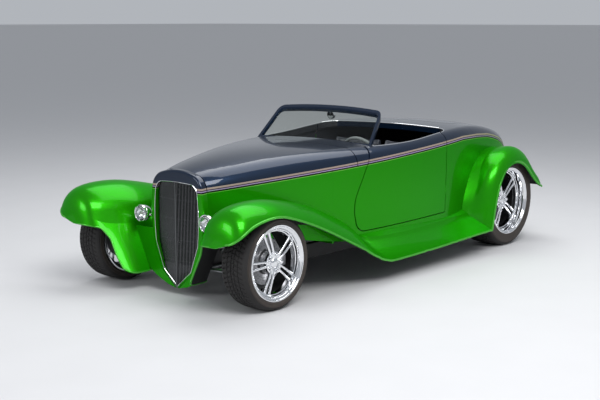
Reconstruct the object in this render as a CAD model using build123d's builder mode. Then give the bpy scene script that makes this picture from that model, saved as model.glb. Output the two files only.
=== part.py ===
from build123d import *
import os
from math import copysign, asin, atan, atan2, cos, hypot, pi, radians, sin, tan

os.makedirs("parts", exist_ok=True)

# Street rod roadster, millimetres. +X forward, +Y left, +Z up, floor at Z 0.

# Running gear
WHEELBASE = 2845
FRONT_AXLE_X = 1512
REAR_AXLE_X = FRONT_AXLE_X - WHEELBASE
FRONT_TYRE_R = 305.5
FRONT_TYRE_W = 225
FRONT_WHEEL_Y = 694.5
FRONT_RIM_R = 246
FRONT_HUB_INSET = 40
REAR_TYRE_R = 365
REAR_TYRE_W = 285
REAR_WHEEL_Y = 638.5
REAR_RIM_R = 271.5
REAR_HUB_INSET = 80
BEAD_DROP = 17
KINGPIN_Y = 655

# Clearances, and half the width of a cutter that spans the whole car
GAP = 6
FIT = 0.3
CUT_Y = 900
CUT_TOP = 1100

# Body
SKIN = 12
WALL = 45
BELT_Z = 707
BELT_X = 1590
BELT_SLOPE = 0.0785
HOOD_FRONT_X = 1572
HOOD_REAR_X = 430
SIDE_REAR_X = 640
TAIL_X = -1948
FLOOR_Z = 262
FLOOR_T = 12
TRUNK_FLOOR_Z = 545
RISER_X = -830
FIREWALL_X = 600

# Grille shell
SHELL_REAR_X = 1578
SHELL_FRONT_X = 1625

# Door side outline
DOOR_REAR_X = -555
DOOR_GAP = 7
DOOR_FACE_Y = 617
DOOR_FACE_TAPER = 0.18
RELIEF = 0.12
RELIEF_Y = 640

# Cockpit opening
COCKPIT_FRONT_X = 205
COCKPIT_REAR_X = -700

# Fenders
SHEET = 8
LIP_Y = 870


def belt(x):
    return BELT_Z + BELT_SLOPE * (BELT_X - x)


# Body sections: station x, belt half width, curve start z, sill half width,
# sill z, crown z, crown rise as a share of its half width
BODY_SECTIONS = [
    (1578, 238, belt(1578), 222, 400, 838, 0.15),
    (1280, 345, belt(1280), 322, 372, 895, 0.12),
    (910, 458, belt(910), 432, 325, 930, 0.08),
    (430, 583, belt(430), 566, 262, 940, 0.04),
    (-310, 670, belt(-310), 655, 250, 966, 0.03),
    (-810, 662, belt(-810), 650, 262, 1002, 0.03),
    (-1250, 605, 880, 570, 340, 990, 0.05),
    (-1500, 555, 830, 520, 380, 955, 0.08),
    (-1720, 480, 740, 450, 392, 893, 0.12),
    (-1850, 415, 640, 390, 400, 800, 0.18),
    (-1925, 350, 540, 335, 405, 680, 0.2),
    (TAIL_X, 315, 500, 305, 410, 600, 0.2),
]

# Front fender sections: x, lip y, lip z, crest y, crest z, tilt at the crest,
# inner radius, inner turn, straight, foot y, foot z
FRONT_FENDER = [
    (1949, 752, 478, 690, 502, 0, 45, 60, 8, 628, 446),
    (1944, 790, 484, 692, 540, 0, 75, 60, 15, 590, 438),
    (1934, 826, 496, 696, 588, 0, 115, 62, 28, 545, 425),
    (1916, 852, 512, 702, 631, 0, 155, 66, 45, 500, 385),
    (1888, 866, 532, 708, 664, 0, 185, 70, 62, 435, 300),
    (1845, LIP_Y, 556, 712, 687, 0, 208, 72, 82, 355, 200),
    (1785, LIP_Y, 580, 712, 701, 0, 228, 71, 100, 290, 138),
    (1700, LIP_Y, 600, 708, 709, 0, 250, 69, 112, 266, 128),
    (1590, LIP_Y, 611, 702, 709, 0, 270, 65, 120, 262, 150),
    (1430, LIP_Y, 580, 692, 690, 0, 260, 62, 80, 275, 425),
    (1184, LIP_Y, 490, 672, 636, 0, 200, 60, 30, 355, 465),
    (875, LIP_Y, 352, 650, 527, 0, 120, 55, 20, 445, 432),
    (650, LIP_Y, 250, 648, 412, -10, 90, 30, 12, 500, 385),
    (560, LIP_Y, 210, 640, 350, -22, 90, 10, 12, 520, 355),
    (450, LIP_Y, 168, 640, 272, -34, 90, -20, 10, 550, 322),
    (360, LIP_Y, 155, 650, 250, -38, 90, -25, 10, 570, 312),
]
BOARD_FRONT = FRONT_FENDER[-1]

# Running board sections, same columns
RUNNING_BOARD = [
    BOARD_FRONT,
    (-130, LIP_Y, 164, 710, 248, -38, 90, -25, 10, 640, 318),
    (-710, LIP_Y, 182, 712, 272, -38, 90, -25, 10, 640, 342),
]

# Rear fender sections: lip x, lip z, lip y, lean of the plane from upright,
# crest y, crest height over the lip, tilt, inner radius, inner turn,
# straight, foot y, foot height over the lip
REAR_FENDER = [
    (-930, 188, LIP_Y, -35, 715, 120, -38, 90, -22, 10, 640, 205),
    (-950, 262, LIP_Y, -38, 728, 125, -32, 120, -15, 10, 638, 200),
    (-975, 350, LIP_Y, -42, 742, 122, -20, 200, -5, 10, 634, 180),
    (-1064, 571, LIP_Y, -50, 765, 112, 0, 400, 5, 20, 622, 132),
    (-1249, 684, LIP_Y, -14, 765, 124, 0, 400, 8, 20, 585, 110),
    (-1440, 635, 850, 22, 750, 130, 0, 300, 12, 20, 545, 118),
    (-1598, 526, 832, 55, 735, 114, 0, 300, 15, 20, 485, 104),
    (-1815, 436, 800, 84, 700, 40, 0, 400, 10, 20, 395, 20),
]


def cross_plane(x):
    return Plane(origin=(x, 0, 0), x_dir=(0, 1, 0), z_dir=(1, 0, 0))


def body_section(x, y_belt, z_belt, y_sill, z_sill, z_crown, rise, inset):
    """Closed body outline at one station, inset from the outer surface."""
    yb, ys, zc = y_belt - inset, y_sill - inset, z_crown - inset
    zs = z_sill - (60 if inset > 0 else 0)
    g = (1 + rise) / (1 - rise)
    shoulder_y = (yb * g - (zc - z_belt)) / (g - rise)
    shoulder_z = zc - rise * shoulder_y
    turn = pi / 2 - 2 * atan(rise)
    r_sh = (shoulder_z - z_belt) / sin(turn)
    r_side = ((yb - ys) ** 2 + (z_belt - zs) ** 2) / (2 * (yb - ys))
    half = asin((z_belt - zs) / r_side) / 2
    side_mid = (yb - r_side + r_side * cos(half), z_belt - r_side * sin(half))
    sh_mid = (yb - r_sh + r_sh * cos(turn / 2), z_belt + r_sh * sin(turn / 2))
    with BuildSketch(cross_plane(x)) as sk:
        with BuildLine():
            Line((-ys, zs), (ys, zs))
            ThreePointArc((ys, zs), side_mid, (yb, z_belt))
            ThreePointArc((yb, z_belt), sh_mid, (shoulder_y, shoulder_z))
            ThreePointArc((shoulder_y, shoulder_z), (0, zc), (-shoulder_y, shoulder_z))
            ThreePointArc((-shoulder_y, shoulder_z), (-sh_mid[0], sh_mid[1]), (-yb, z_belt))
            ThreePointArc((-yb, z_belt), (-side_mid[0], side_mid[1]), (-ys, zs))
        make_face()
    return sk.sketch


def body_form(inset, rows=BODY_SECTIONS):
    """Closed form of the whole body, inset from its outer surface."""
    with BuildPart() as form:
        for row in rows:
            x = row[0] + (inset if row[0] == TAIL_X and inset > 0 else 0)
            add(body_section(x, *row[1:], inset))
        loft()
    return form.part


def arc_points(p, tangent, q):
    """Centre and middle of the arc that leaves p along tangent and ends at q."""
    nx, ny = -tangent[1], tangent[0]
    dx, dy = q[0] - p[0], q[1] - p[1]
    r = (dx * dx + dy * dy) / (2 * (dx * nx + dy * ny))
    c = (p[0] + nx * r, p[1] + ny * r)
    mx, my = (p[0] + q[0]) / 2 - c[0], (p[1] + q[1]) / 2 - c[1]
    k = abs(r) / hypot(mx, my)
    return c, (c[0] + mx * k, c[1] + my * k), r


def radial_shift(c, point, shift):
    """Point moved away from centre c by shift."""
    d = hypot(point[0] - c[0], point[1] - c[1])
    k = (d + shift) / d
    return (c[0] + (point[0] - c[0]) * k, c[1] + (point[1] - c[1]) * k)


def sheet_section(plane, lip, crest, tilt, r_in, turn, straight, foot, t=SHEET):
    """Thin fender section: lip arc, crest, inner arc, straight and foot."""
    a = radians(tilt)
    out_dir = (cos(a), sin(a))
    in_dir = (-cos(a), -sin(a))
    c1, m1, r1 = arc_points(crest, out_dir, lip)
    shift1 = -t if r1 < 0 else t
    sign = 1 if turn > 0 else -1
    c2 = (crest[0] - in_dir[1] * r_in * sign, crest[1] + in_dir[0] * r_in * sign)
    b = radians(abs(turn))

    def on_arc(angle):
        vx, vy = crest[0] - c2[0], crest[1] - c2[1]
        ca, sa = cos(angle * sign), sin(angle * sign)
        return (c2[0] + vx * ca - vy * sa, c2[1] + vx * sa + vy * ca)

    m2, e2 = on_arc(b / 2), on_arc(b)
    shift2 = -t if sign > 0 else t
    heading = atan2(in_dir[1], in_dir[0]) + b * sign
    hx, hy = cos(heading), sin(heading)
    p3 = (e2[0] + hx * straight, e2[1] + hy * straight)
    fx, fy = foot[0] - p3[0], foot[1] - p3[1]
    fl = hypot(fx, fy)
    fx, fy = fx / fl, fy / fl
    n1, n2 = (-hy, hx), (-fy, fx)
    k = t / (1 + n1[0] * n2[0] + n1[1] * n2[1])
    inner = [
        radial_shift(c1, lip, shift1),
        radial_shift(c1, m1, shift1),
        radial_shift(c1, crest, shift1),
        radial_shift(c2, m2, shift2),
        radial_shift(c2, e2, shift2),
        (p3[0] + (n1[0] + n2[0]) * k, p3[1] + (n1[1] + n2[1]) * k),
        (foot[0] + n2[0] * t, foot[1] + n2[1] * t),
    ]
    with BuildSketch(plane) as sk:
        with BuildLine():
            ThreePointArc(lip, m1, crest)
            ThreePointArc(crest, m2, e2)
            Line(e2, p3)
            Line(p3, foot)
            Line(foot, inner[6])
            Line(inner[6], inner[5])
            Line(inner[5], inner[4])
            ThreePointArc(inner[4], inner[3], inner[2])
            ThreePointArc(inner[2], inner[1], inner[0])
            Line(inner[0], lip)
        make_face()
    return sk.sketch


def upright_sheet(row):
    x, ly, lz, cy, cz, tilt, r_in, turn, straight, fy, fz = row
    return sheet_section(cross_plane(x), (ly, lz), (cy, cz), tilt, r_in, turn, straight, (fy, fz))


def leaning_sheet(row):
    """Section in a plane that leans fore or aft about the lip."""
    x, z, ly, lean, cy, ch, tilt, r_in, turn, straight, fy, fh = row
    a = radians(lean)
    plane = Plane(origin=(x, 0, z), x_dir=(0, 1, 0), z_dir=(cos(a), 0, sin(a)))
    return sheet_section(plane, (ly, 0), (cy, ch), tilt, r_in, turn, straight, (fy, fh))


def side_prism(points, y_low, y_high):
    """Side outline run across the car between two widths."""
    with BuildPart() as p:
        with BuildSketch(Plane.XZ.offset(-y_high)):
            with BuildLine():
                Polyline(*points, close=True)
            make_face()
        extrude(amount=y_high - y_low)
    return p.part


def door_outline(plane, grow):
    """Left door's side outline, grown by a margin all round."""
    with BuildSketch(plane) as sk:
        with BuildLine():
            Line((240, 1000), (412, 628))
            ThreePointArc((412, 628), (444, 500), (428, 405))
            ThreePointArc((428, 405), (402, 352), (345, 330))
            Line((345, 330), (DOOR_REAR_X, 362))
            Line((DOOR_REAR_X, 362), (DOOR_REAR_X, 1060))
            Line((DOOR_REAR_X, 1060), (240, 1060))
            Line((240, 1060), (240, 1000))
        make_face()
        if grow:
            offset(amount=grow, kind=Kind.INTERSECTION)
    return sk.sketch


def cockpit_plan(plane, grow=0):
    with BuildSketch(plane) as sk:
        with BuildLine() as ln:
            Line((COCKPIT_FRONT_X, 0), (COCKPIT_FRONT_X, 548))
            ThreePointArc((COCKPIT_FRONT_X, 548), (-60, 598), (-310, 613))
            Line((-310, 613), (-570, 608))
            ThreePointArc((-570, 608), (-662, 570), (COCKPIT_REAR_X, 478))
            Line((COCKPIT_REAR_X, 478), (COCKPIT_REAR_X, 0))
            mirror(about=Plane.XZ)
        make_face()
        if grow:
            offset(amount=grow)
    return sk.sketch


LID_FRONT_X = -960
LID_REAR_X = -1800
LID_FRONT_Y = 420
LID_REAR_Y = 300
LID_T = 25
LID_TOP_Z = 1060
LID_DRAFT = 15
LID_GAP = 8


def lid_plan(plane, grow=0):
    with BuildSketch(plane) as sk:
        with BuildLine():
            Polyline((LID_FRONT_X, -LID_FRONT_Y), (LID_FRONT_X, LID_FRONT_Y),
                     (LID_REAR_X, LID_REAR_Y), (LID_REAR_X, -LID_REAR_Y), close=True)
        make_face()
        fillet(sk.vertices(), 70)
        if grow:
            offset(amount=grow)
    return sk.sketch


outer = body_form(0)
outer_clear = body_form(-FIT)
wall_form = body_form(WALL)
wall_clear = body_form(WALL + FIT)
skin_form = body_form(SKIN)
firewall_form = body_form(SKIN + GAP + 2)
lid_form = body_form(LID_T)

with BuildPart() as shell_wall:
    add(outer)
    add(wall_form, mode=Mode.SUBTRACT)
body_wall = shell_wall.part

with BuildPart() as shell_skin:
    add(outer)
    add(skin_form, mode=Mode.SUBTRACT)
body_skin = shell_skin.part


def save(piece, label):
    piece.part.label = label
    export_step(piece.part, f"parts/{label}.step")


def save_mirrored(piece, label):
    with BuildPart() as other:
        add(mirror(piece.part, about=Plane.XZ))
    save(other, label)


def box(x0, x1, y0, y1, z0, z1):
    """Plain block between two corners."""
    with BuildPart() as b:
        with BuildSketch(Plane.XY.offset(z0)):
            with Locations(((x0 + x1) / 2, (y0 + y1) / 2)):
                Rectangle(x1 - x0, y1 - y0)
        extrude(amount=z1 - z0)
    return b.part


def rod(start, end, radius):
    """Round bar from one point to another."""
    p, q = Vector(*start), Vector(*end)
    with BuildPart() as b:
        with BuildSketch(Plane(origin=p, z_dir=(q - p).normalized())):
            Circle(radius)
        extrude(amount=(q - p).length)
    return b.part


def cross_barrel(x, z, y_from, y_to, toward, r=GAP / 2 - FIT, reach=16):
    """Hinge barrel across the car with a leaf that reaches fore or aft."""
    with BuildPart() as b:
        with BuildSketch(Plane.XZ.offset(-y_to)):
            with Locations((x, z)):
                Circle(r)
            with Locations((x + toward * reach / 2, z - r + 1.5)):
                Rectangle(reach, 3)
        extrude(amount=y_to - y_from)
    return b.part


def upright_barrel(x, y, z_from, z_to, toward, r=DOOR_GAP / 2 - FIT, reach=16):
    """Hinge barrel on end with a leaf on its inner side that reaches fore or aft."""
    with BuildPart() as b:
        with BuildSketch(Plane.XY.offset(z_from)):
            with Locations((x, y)):
                Circle(r)
            with Locations((x + toward * reach / 2, y - copysign(r, y))):
                Rectangle(reach, 4)
        extrude(amount=z_to - z_from)
    return b.part


def door_prism(grow, y_in=520, y_out=800):
    with BuildPart() as p:
        add(door_outline(Plane.XZ.offset(-y_out), grow))
        extrude(amount=y_out - y_in, dir=(0, -1, 0))
    return p.part


def door_relief():
    """Room ahead of the door's front edge, slanting aft towards the inside."""
    lead = [(x + RELIEF * (RELIEF_Y - DOOR_FACE_Y + DOOR_FACE_TAPER * (x - 240)), z)
            for x, z in ((240, 1000), (412, 628), (444, 500), (428, 405), (402, 352), (345, 330))]
    with BuildPart() as p:
        with BuildSketch(Plane.XZ.offset(-RELIEF_Y)) as sk:
            with BuildLine():
                Line(lead[0], lead[1])
                ThreePointArc(lead[1], lead[2], lead[3])
                ThreePointArc(lead[3], lead[4], lead[5])
                Polyline(lead[5], (lead[5][0], 200), (700, 200), (700, CUT_TOP), (lead[0][0], CUT_TOP),
                         lead[0])
            make_face()
        extrude(amount=150, dir=(-RELIEF, -1, 0))
    return p.part


def cockpit_prism(grow=0, z_low=840):
    with BuildPart() as p:
        add(cockpit_plan(Plane.XY.offset(z_low), grow))
        extrude(amount=300, dir=(0, 0, 1))
    return p.part


def lid_prism(grow=0):
    """Lid outline, drawn at the hinge's height and drawn in towards the bottom."""
    above = (LID_TOP_Z - LID_HINGE_Z) * tan(radians(LID_DRAFT))
    with BuildPart() as p:
        add(lid_plan(Plane.XY.offset(LID_TOP_Z), grow + above))
        extrude(amount=420, dir=(0, 0, -1), taper=LID_DRAFT)
    return p.part


# Hood lid above the belt line, hinged at its nose
HOOD_HINGE_X = (HOOD_FRONT_X + SHELL_REAR_X) / 2
HOOD_HINGE_Z = 835
HOOD_HINGE_Y = 60
LID_HINGE_X = LID_FRONT_X + GAP / 2
LID_HINGE_Z = 998
LID_HINGE_Y = 150
DOOR_HINGE_X = DOOR_REAR_X - DOOR_GAP / 2
DOOR_HINGE_Y = 669
BARREL_L = 30
hood_top = [(HOOD_REAR_X, belt(HOOD_REAR_X) + GAP / 2), (HOOD_FRONT_X, belt(HOOD_FRONT_X) + GAP / 2),
            (HOOD_FRONT_X, CUT_TOP), (HOOD_REAR_X, CUT_TOP)]
with BuildPart() as hood:
    add(body_skin)
    add(side_prism(hood_top, -CUT_Y, CUT_Y), mode=Mode.INTERSECT)
    for side in (-1, 1):
        mid_y = side * HOOD_HINGE_Y
        add(cross_barrel(HOOD_HINGE_X, HOOD_HINGE_Z, mid_y - BARREL_L / 2, mid_y + BARREL_L / 2, -1))
save(hood, "hood")

# Hood sides below the belt line
side_low = [(SIDE_REAR_X + FIT, 200), (SHELL_REAR_X - FIT, 200),
            (SHELL_REAR_X - FIT, belt(SHELL_REAR_X) - GAP / 2),
            (SIDE_REAR_X + FIT, belt(SIDE_REAR_X) - GAP / 2)]
with BuildPart() as hood_sides:
    add(body_skin)
    add(side_prism(side_low, -CUT_Y, CUT_Y), mode=Mode.INTERSECT)
save(hood_sides, "hood_sides")

# Body tub, split into cowl and rear body
TUNNEL_Y = 160
TUNNEL_TOP = 430
COWL_SPLIT_X = 336
WHEEL_HOUSE_R = 400
WHEEL_HOUSE_Y = 472
HOUSE_LOW_Z = 430
hood_opening = side_prism(
    [(HOOD_REAR_X - GAP, belt(HOOD_REAR_X) - GAP / 2), (1700, belt(1700) - GAP / 2), (1700, CUT_TOP),
     (HOOD_REAR_X - GAP, CUT_TOP)], -CUT_Y, CUT_Y)
body_ahead = box(SIDE_REAR_X, 1700, -CUT_Y, CUT_Y, 0, CUT_TOP)
door_gap_left = door_prism(DOOR_GAP)
door_gap_right = mirror(door_gap_left, about=Plane.XZ)
tunnel_room = box(RISER_X - 40, SIDE_REAR_X, -TUNNEL_Y, TUNNEL_Y, 200, TUNNEL_TOP)

with BuildPart() as tub:
    add(body_wall)
    add(body_ahead, mode=Mode.SUBTRACT)
    add(hood_opening, mode=Mode.SUBTRACT)
    add(door_gap_left, mode=Mode.SUBTRACT)
    add(door_gap_right, mode=Mode.SUBTRACT)
    add(cockpit_prism(), mode=Mode.SUBTRACT)
tub_shell = tub.part

with BuildPart() as firewall:
    add(firewall_form)
    add(box(FIREWALL_X, FIREWALL_X + FLOOR_T, -CUT_Y, CUT_Y, FLOOR_Z, 1000), mode=Mode.INTERSECT)
    add(tunnel_room, mode=Mode.SUBTRACT)

with BuildPart() as cowl:
    add(tub_shell)
    add(box(0, COWL_SPLIT_X, -CUT_Y, CUT_Y, 0, 340), mode=Mode.SUBTRACT)
    add(box(-2000, 0, -CUT_Y, CUT_Y, 0, CUT_TOP), mode=Mode.SUBTRACT)
    add(firewall.part)
save(cowl, "cowl")

wheel_rooms = [
    rod((REAR_AXLE_X, side * WHEEL_HOUSE_Y, REAR_TYRE_R), (REAR_AXLE_X, side * CUT_Y, REAR_TYRE_R),
        WHEEL_HOUSE_R)
    for side in (-1, 1)
]
with BuildPart() as rear_body:
    add(tub_shell)
    add(box(COWL_SPLIT_X - FIT, 1700, -CUT_Y, CUT_Y, 0, CUT_TOP), mode=Mode.SUBTRACT)
    add(box(0, COWL_SPLIT_X, -CUT_Y, CUT_Y, 340, CUT_TOP), mode=Mode.SUBTRACT)
    for room in wheel_rooms:
        add(room, mode=Mode.SUBTRACT)
    add(lid_prism(LID_GAP), mode=Mode.SUBTRACT)
    for side in (-1, 1):
        mid_y = side * LID_HINGE_Y
        add(cross_barrel(LID_HINGE_X, LID_HINGE_Z, mid_y - BARREL_L * 1.5, mid_y - BARREL_L / 2 - FIT, 1))
        for z in (500, 820):
            add(upright_barrel(DOOR_HINGE_X, side * DOOR_HINGE_Y, z + BARREL_L + FIT, z + 2 * BARREL_L, -1))
save(rear_body, "rear_body")

# Doors
with BuildPart() as door_left:
    add(body_wall)
    add(door_prism(0), mode=Mode.INTERSECT)
    add(cockpit_prism(), mode=Mode.SUBTRACT)
    add(door_relief(), mode=Mode.SUBTRACT)
    for z in (500, 820):
        add(upright_barrel(DOOR_HINGE_X, DOOR_HINGE_Y, z, z + BARREL_L, 1))
save(door_left, "door_left")
save_mirrored(door_left, "door_right")

with BuildPart() as trunk_lid:
    add(outer)
    add(lid_form, mode=Mode.SUBTRACT)
    add(lid_prism(), mode=Mode.INTERSECT)
    for side in (-1, 1):
        mid_y = side * LID_HINGE_Y
        add(cross_barrel(LID_HINGE_X, LID_HINGE_Z, mid_y - BARREL_L / 2, mid_y + BARREL_L / 2, -1))
save(trunk_lid, "trunk_lid")

# Floor with tunnel, riser, trunk floor and inner wheel houses
with BuildPart() as floor_pan:
    add(box(RISER_X, FIREWALL_X - FIT, -CUT_Y, CUT_Y, FLOOR_Z, FLOOR_Z + FLOOR_T))
    add(box(RISER_X - FLOOR_T, RISER_X, -CUT_Y, CUT_Y, FLOOR_Z, TRUNK_FLOOR_Z + FLOOR_T))
    add(box(-1900, RISER_X, -CUT_Y, CUT_Y, TRUNK_FLOOR_Z, TRUNK_FLOOR_Z + FLOOR_T))
    add(box(RISER_X - FLOOR_T, FIREWALL_X - FIT, -TUNNEL_Y, TUNNEL_Y, FLOOR_Z, TUNNEL_TOP))
    for side in (-1, 1):
        add(rod((REAR_AXLE_X, side * (WHEEL_HOUSE_Y - FLOOR_T), REAR_TYRE_R),
                (REAR_AXLE_X, side * 800, REAR_TYRE_R), WHEEL_HOUSE_R + 8))
    for room in wheel_rooms:
        add(room, mode=Mode.SUBTRACT)
    add(box(-2000, RISER_X - FLOOR_T, -CUT_Y, CUT_Y, 0, HOUSE_LOW_Z), mode=Mode.SUBTRACT)
    add(box(-2000, 1000, -TUNNEL_Y + FLOOR_T, TUNNEL_Y - FLOOR_T, 0, TUNNEL_TOP - FLOOR_T),
        mode=Mode.SUBTRACT)
    add(wall_clear, mode=Mode.INTERSECT)
save(floor_pan, "floor_pan")

# Fenders and running boards
NOSE_EDGE = [(1810, 0), (1810, 107), (1831, 240), (1832, 355), (1870, 430), (1950, 452), (2050, 452),
             (2050, 0)]
ARM_ROOM = [(1300, 0), (1300, 385), (1600, 385), (1620, 335), (1620, 0)]
NOSE_CAP_T = 6
nose_plane = cross_plane(FRONT_FENDER[0][0])
with BuildPart() as nose_cap:
    with BuildSketch(nose_plane):
        add(nose_plane.to_local_coords(upright_sheet(FRONT_FENDER[0])))
        make_hull()
    extrude(amount=-NOSE_CAP_T)
with BuildPart() as front_fender_left:
    for row in FRONT_FENDER:
        add(upright_sheet(row))
    loft()
    add(nose_cap.part)
    add(side_prism(NOSE_EDGE, 0, CUT_Y), mode=Mode.SUBTRACT)
    add(side_prism(ARM_ROOM, 0, CUT_Y), mode=Mode.SUBTRACT)
    add(outer_clear, mode=Mode.SUBTRACT)
save(front_fender_left, "front_fender_left")
save_mirrored(front_fender_left, "front_fender_right")

with BuildPart() as board:
    for row in RUNNING_BOARD:
        add(upright_sheet(row))
    add(leaning_sheet(REAR_FENDER[0]))
    loft()
    add(outer_clear, mode=Mode.SUBTRACT)
with BuildPart() as running_boards:
    add(board.part)
    add(mirror(board.part, about=Plane.XZ))
save(running_boards, "running_boards")

with BuildPart() as rear_fender_left:
    for row in REAR_FENDER:
        add(leaning_sheet(row))
    loft()
    add(outer_clear, mode=Mode.SUBTRACT)
save(rear_fender_left, "rear_fender_left")
save_mirrored(rear_fender_left, "rear_fender_right")

# Grille shell, with a V of fine upright bars in its mouth
SHELL_OUTER = [(0, 40), (150, 150), (222, 320), (252, 560), (240, 715), (166, 815)]
MOUTH = [(0, 60), (128, 166), (198, 345), (207, 600), (198, 700), (140, 757)]
SHELL_CROWN_Z = 843
MOUTH_TOP_Z = 762
BAR_PITCH = 12
BAR_W = 4
BAR_DEPTH = 12
BAR_COUNT = 16
CROSS_BAR_Z = (230, 370, 510, 640)
RIDGE_X = 1634
MOUTH_SIDE_X = 1600


def shell_face(plane, points, top_z, grow=0):
    """Half outline given down one side, mirrored, closed by an arc on top."""
    tip, low, side, wide, high, corner = points
    with BuildSketch(plane) as sk:
        with BuildLine():
            Line(tip, low)
            Line(low, side)
            ThreePointArc(side, wide, high)
            TangentArc(high, corner, tangent=(high[0] - wide[0] * 1.02, high[1] - wide[1]))
            ThreePointArc(corner, (corner[0] / 2, top_z - (top_z - corner[1]) * 0.25), (0, top_z))
            mirror(about=Plane.YZ)
        make_face()
        if grow:
            offset(amount=grow, kind=Kind.INTERSECTION)
    return sk.sketch


with BuildPart() as mouth:
    add(shell_face(cross_plane(1500), MOUTH, MOUTH_TOP_Z))
    extrude(amount=300, dir=(1, 0, 0))
with BuildPart() as mouth_clear:
    add(shell_face(cross_plane(1500), MOUTH, MOUTH_TOP_Z, -FIT))
    extrude(amount=300, dir=(1, 0, 0))

with BuildPart() as grille_shell:
    add(shell_face(cross_plane(SHELL_REAR_X), SHELL_OUTER, SHELL_CROWN_Z))
    extrude(amount=SHELL_FRONT_X - SHELL_REAR_X, dir=(1, 0, 0))
    front = grille_shell.faces().sort_by(Axis.X)[-1]
    fillet(front.edges(), 16)
    add(mouth.part, mode=Mode.SUBTRACT)
    for side in (-1, 1):
        mid_y = side * HOOD_HINGE_Y
        add(cross_barrel(HOOD_HINGE_X, HOOD_HINGE_Z, mid_y - BARREL_L * 1.5, mid_y - BARREL_L / 2 - FIT, 1,
                         reach=8))
save(grille_shell, "grille_shell")


# Splash aprons that close the gap from the shell's lower sides to the fenders
APRON_X = 1621.3
APRON_T = 6
APRON = [(14, 46), (90, 62), (200, 108), (266, 150), (345, 300), (409, 428), (230, 428), (212, 320),
         (142, 152)]
with BuildPart() as apron:
    with BuildSketch(cross_plane(APRON_X)):
        with BuildLine():
            Polyline(*APRON, close=True)
        make_face()
    extrude(amount=APRON_T)
    add(front_fender_left.part, mode=Mode.SUBTRACT)
    add(grille_shell.part, mode=Mode.SUBTRACT)
with BuildPart() as nose_aprons:
    add(apron.part)
    add(mirror(apron.part, about=Plane.XZ))
save(nose_aprons, "nose_aprons")


def vee_x(y):
    return RIDGE_X - (RIDGE_X - MOUTH_SIDE_X) * abs(y) / MOUTH[3][0]


with BuildPart() as bars:
    with BuildSketch(Plane.XY.offset(40)):
        for i in range(-BAR_COUNT, BAR_COUNT + 1):
            y = i * BAR_PITCH
            with Locations((vee_x(y) - BAR_DEPTH / 2, y)):
                Rectangle(BAR_DEPTH, BAR_W * 2 if i == 0 else BAR_W)
    extrude(amount=760)
with BuildPart() as cross_bars:
    for z in CROSS_BAR_Z:
        with BuildSketch(Plane.XY.offset(z)):
            with BuildLine():
                Polyline((vee_x(0) - 6, 0), (vee_x(240) - 6, 240), (vee_x(240) - 14, 240), (vee_x(0) - 14, 0),
                         (vee_x(240) - 14, -240), (vee_x(240) - 6, -240), close=True)
            make_face()
        extrude(amount=6)
with BuildPart() as grille_insert:
    add(bars.part)
    add(cross_bars.part)
    add(mouth_clear.part, mode=Mode.INTERSECT)
save(grille_insert, "grille_insert")

# Chassis: two boxed rails with a kick-up over the rear axle
RAIL_OUT = [(1572, 250), (1130, 250), (740, 390), (-760, 390), (-1000, 350), (-1850, 330)]
RAIL_W = 50
TOWER_TOP_Z = 372
KICK_Z = 440
RAIL_BOTTOM = [(-1850, KICK_Z), (-1060, KICK_Z), (-880, 162), (1000, 162), (1250, 190), (1720, 190)]
RAIL_TOP = [(1720, 290), (1250, 290), (1000, FLOOR_Z - FIT), (-860, FLOOR_Z - FIT), (-1040, 530),
            (-1850, 530)]
TIE_HOLES = [(1330, 240), (-1815, 485)]
TIE_HOLE_R = 10
CROSS_MEMBERS = [(1462, 1562, 195, 285), (690, 750, 196, 225 - FIT), (-740, -680, 200, 260),
                 (-1480, -1440, 450, 520)]


def rail_inner(x):
    for (x0, y0), (x1, y1) in zip(RAIL_OUT, RAIL_OUT[1:]):
        if x1 <= x <= x0:
            return y0 + (y1 - y0) * (x - x0) / (x1 - x0) - RAIL_W
    return RAIL_OUT[-1][1] - RAIL_W


with BuildPart() as chassis_frame:
    with BuildSketch(Plane.XY.offset(100)):
        for side in (-1, 1):
            with BuildLine():
                Polyline(*[(x, y * side) for x, y in RAIL_OUT],
                         *[(x, (y - RAIL_W) * side) for x, y in reversed(RAIL_OUT)], close=True)
            make_face()
    extrude(amount=500)
    add(side_prism(RAIL_BOTTOM + RAIL_TOP, -500, 500), mode=Mode.INTERSECT)
    for x0, x1, z0, z1 in CROSS_MEMBERS:
        y = max(rail_inner(x0), rail_inner(x1)) + 5
        add(box(x0, x1, -y, y, z0, z1))
    for side in (-1, 1):
        y0, y1 = sorted((side * 205, side * 250))
        add(box(FRONT_AXLE_X - 50, FRONT_AXLE_X + 50, y0, y1, 280, TOWER_TOP_Z))
        for x, z in TIE_HOLES:
            add(rod((x, side * 150, z), (x, side * 450, z), TIE_HOLE_R), mode=Mode.SUBTRACT)
save(chassis_frame, "chassis_frame")

# Front suspension: tubular arms with coil-over units
ARM_R = 12
ARM_SPREAD = 95
ARM_END = 12
BOSS_R = 18
BOSS_H = 36
LOWER_APEX_Z = 184
UPPER_APEX_Z = 426
LOWER_ROOT_Z = 215
UPPER_ROOT_Z = 345
ARM_ROOT_Y = RAIL_OUT[0][1] + ARM_R + FIT


def king_rod(z_low, z_high, radius):
    """Round bar on end along the left kingpin."""
    return rod((FRONT_AXLE_X, KINGPIN_Y, z_low), (FRONT_AXLE_X, KINGPIN_Y, z_high), radius)


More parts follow.
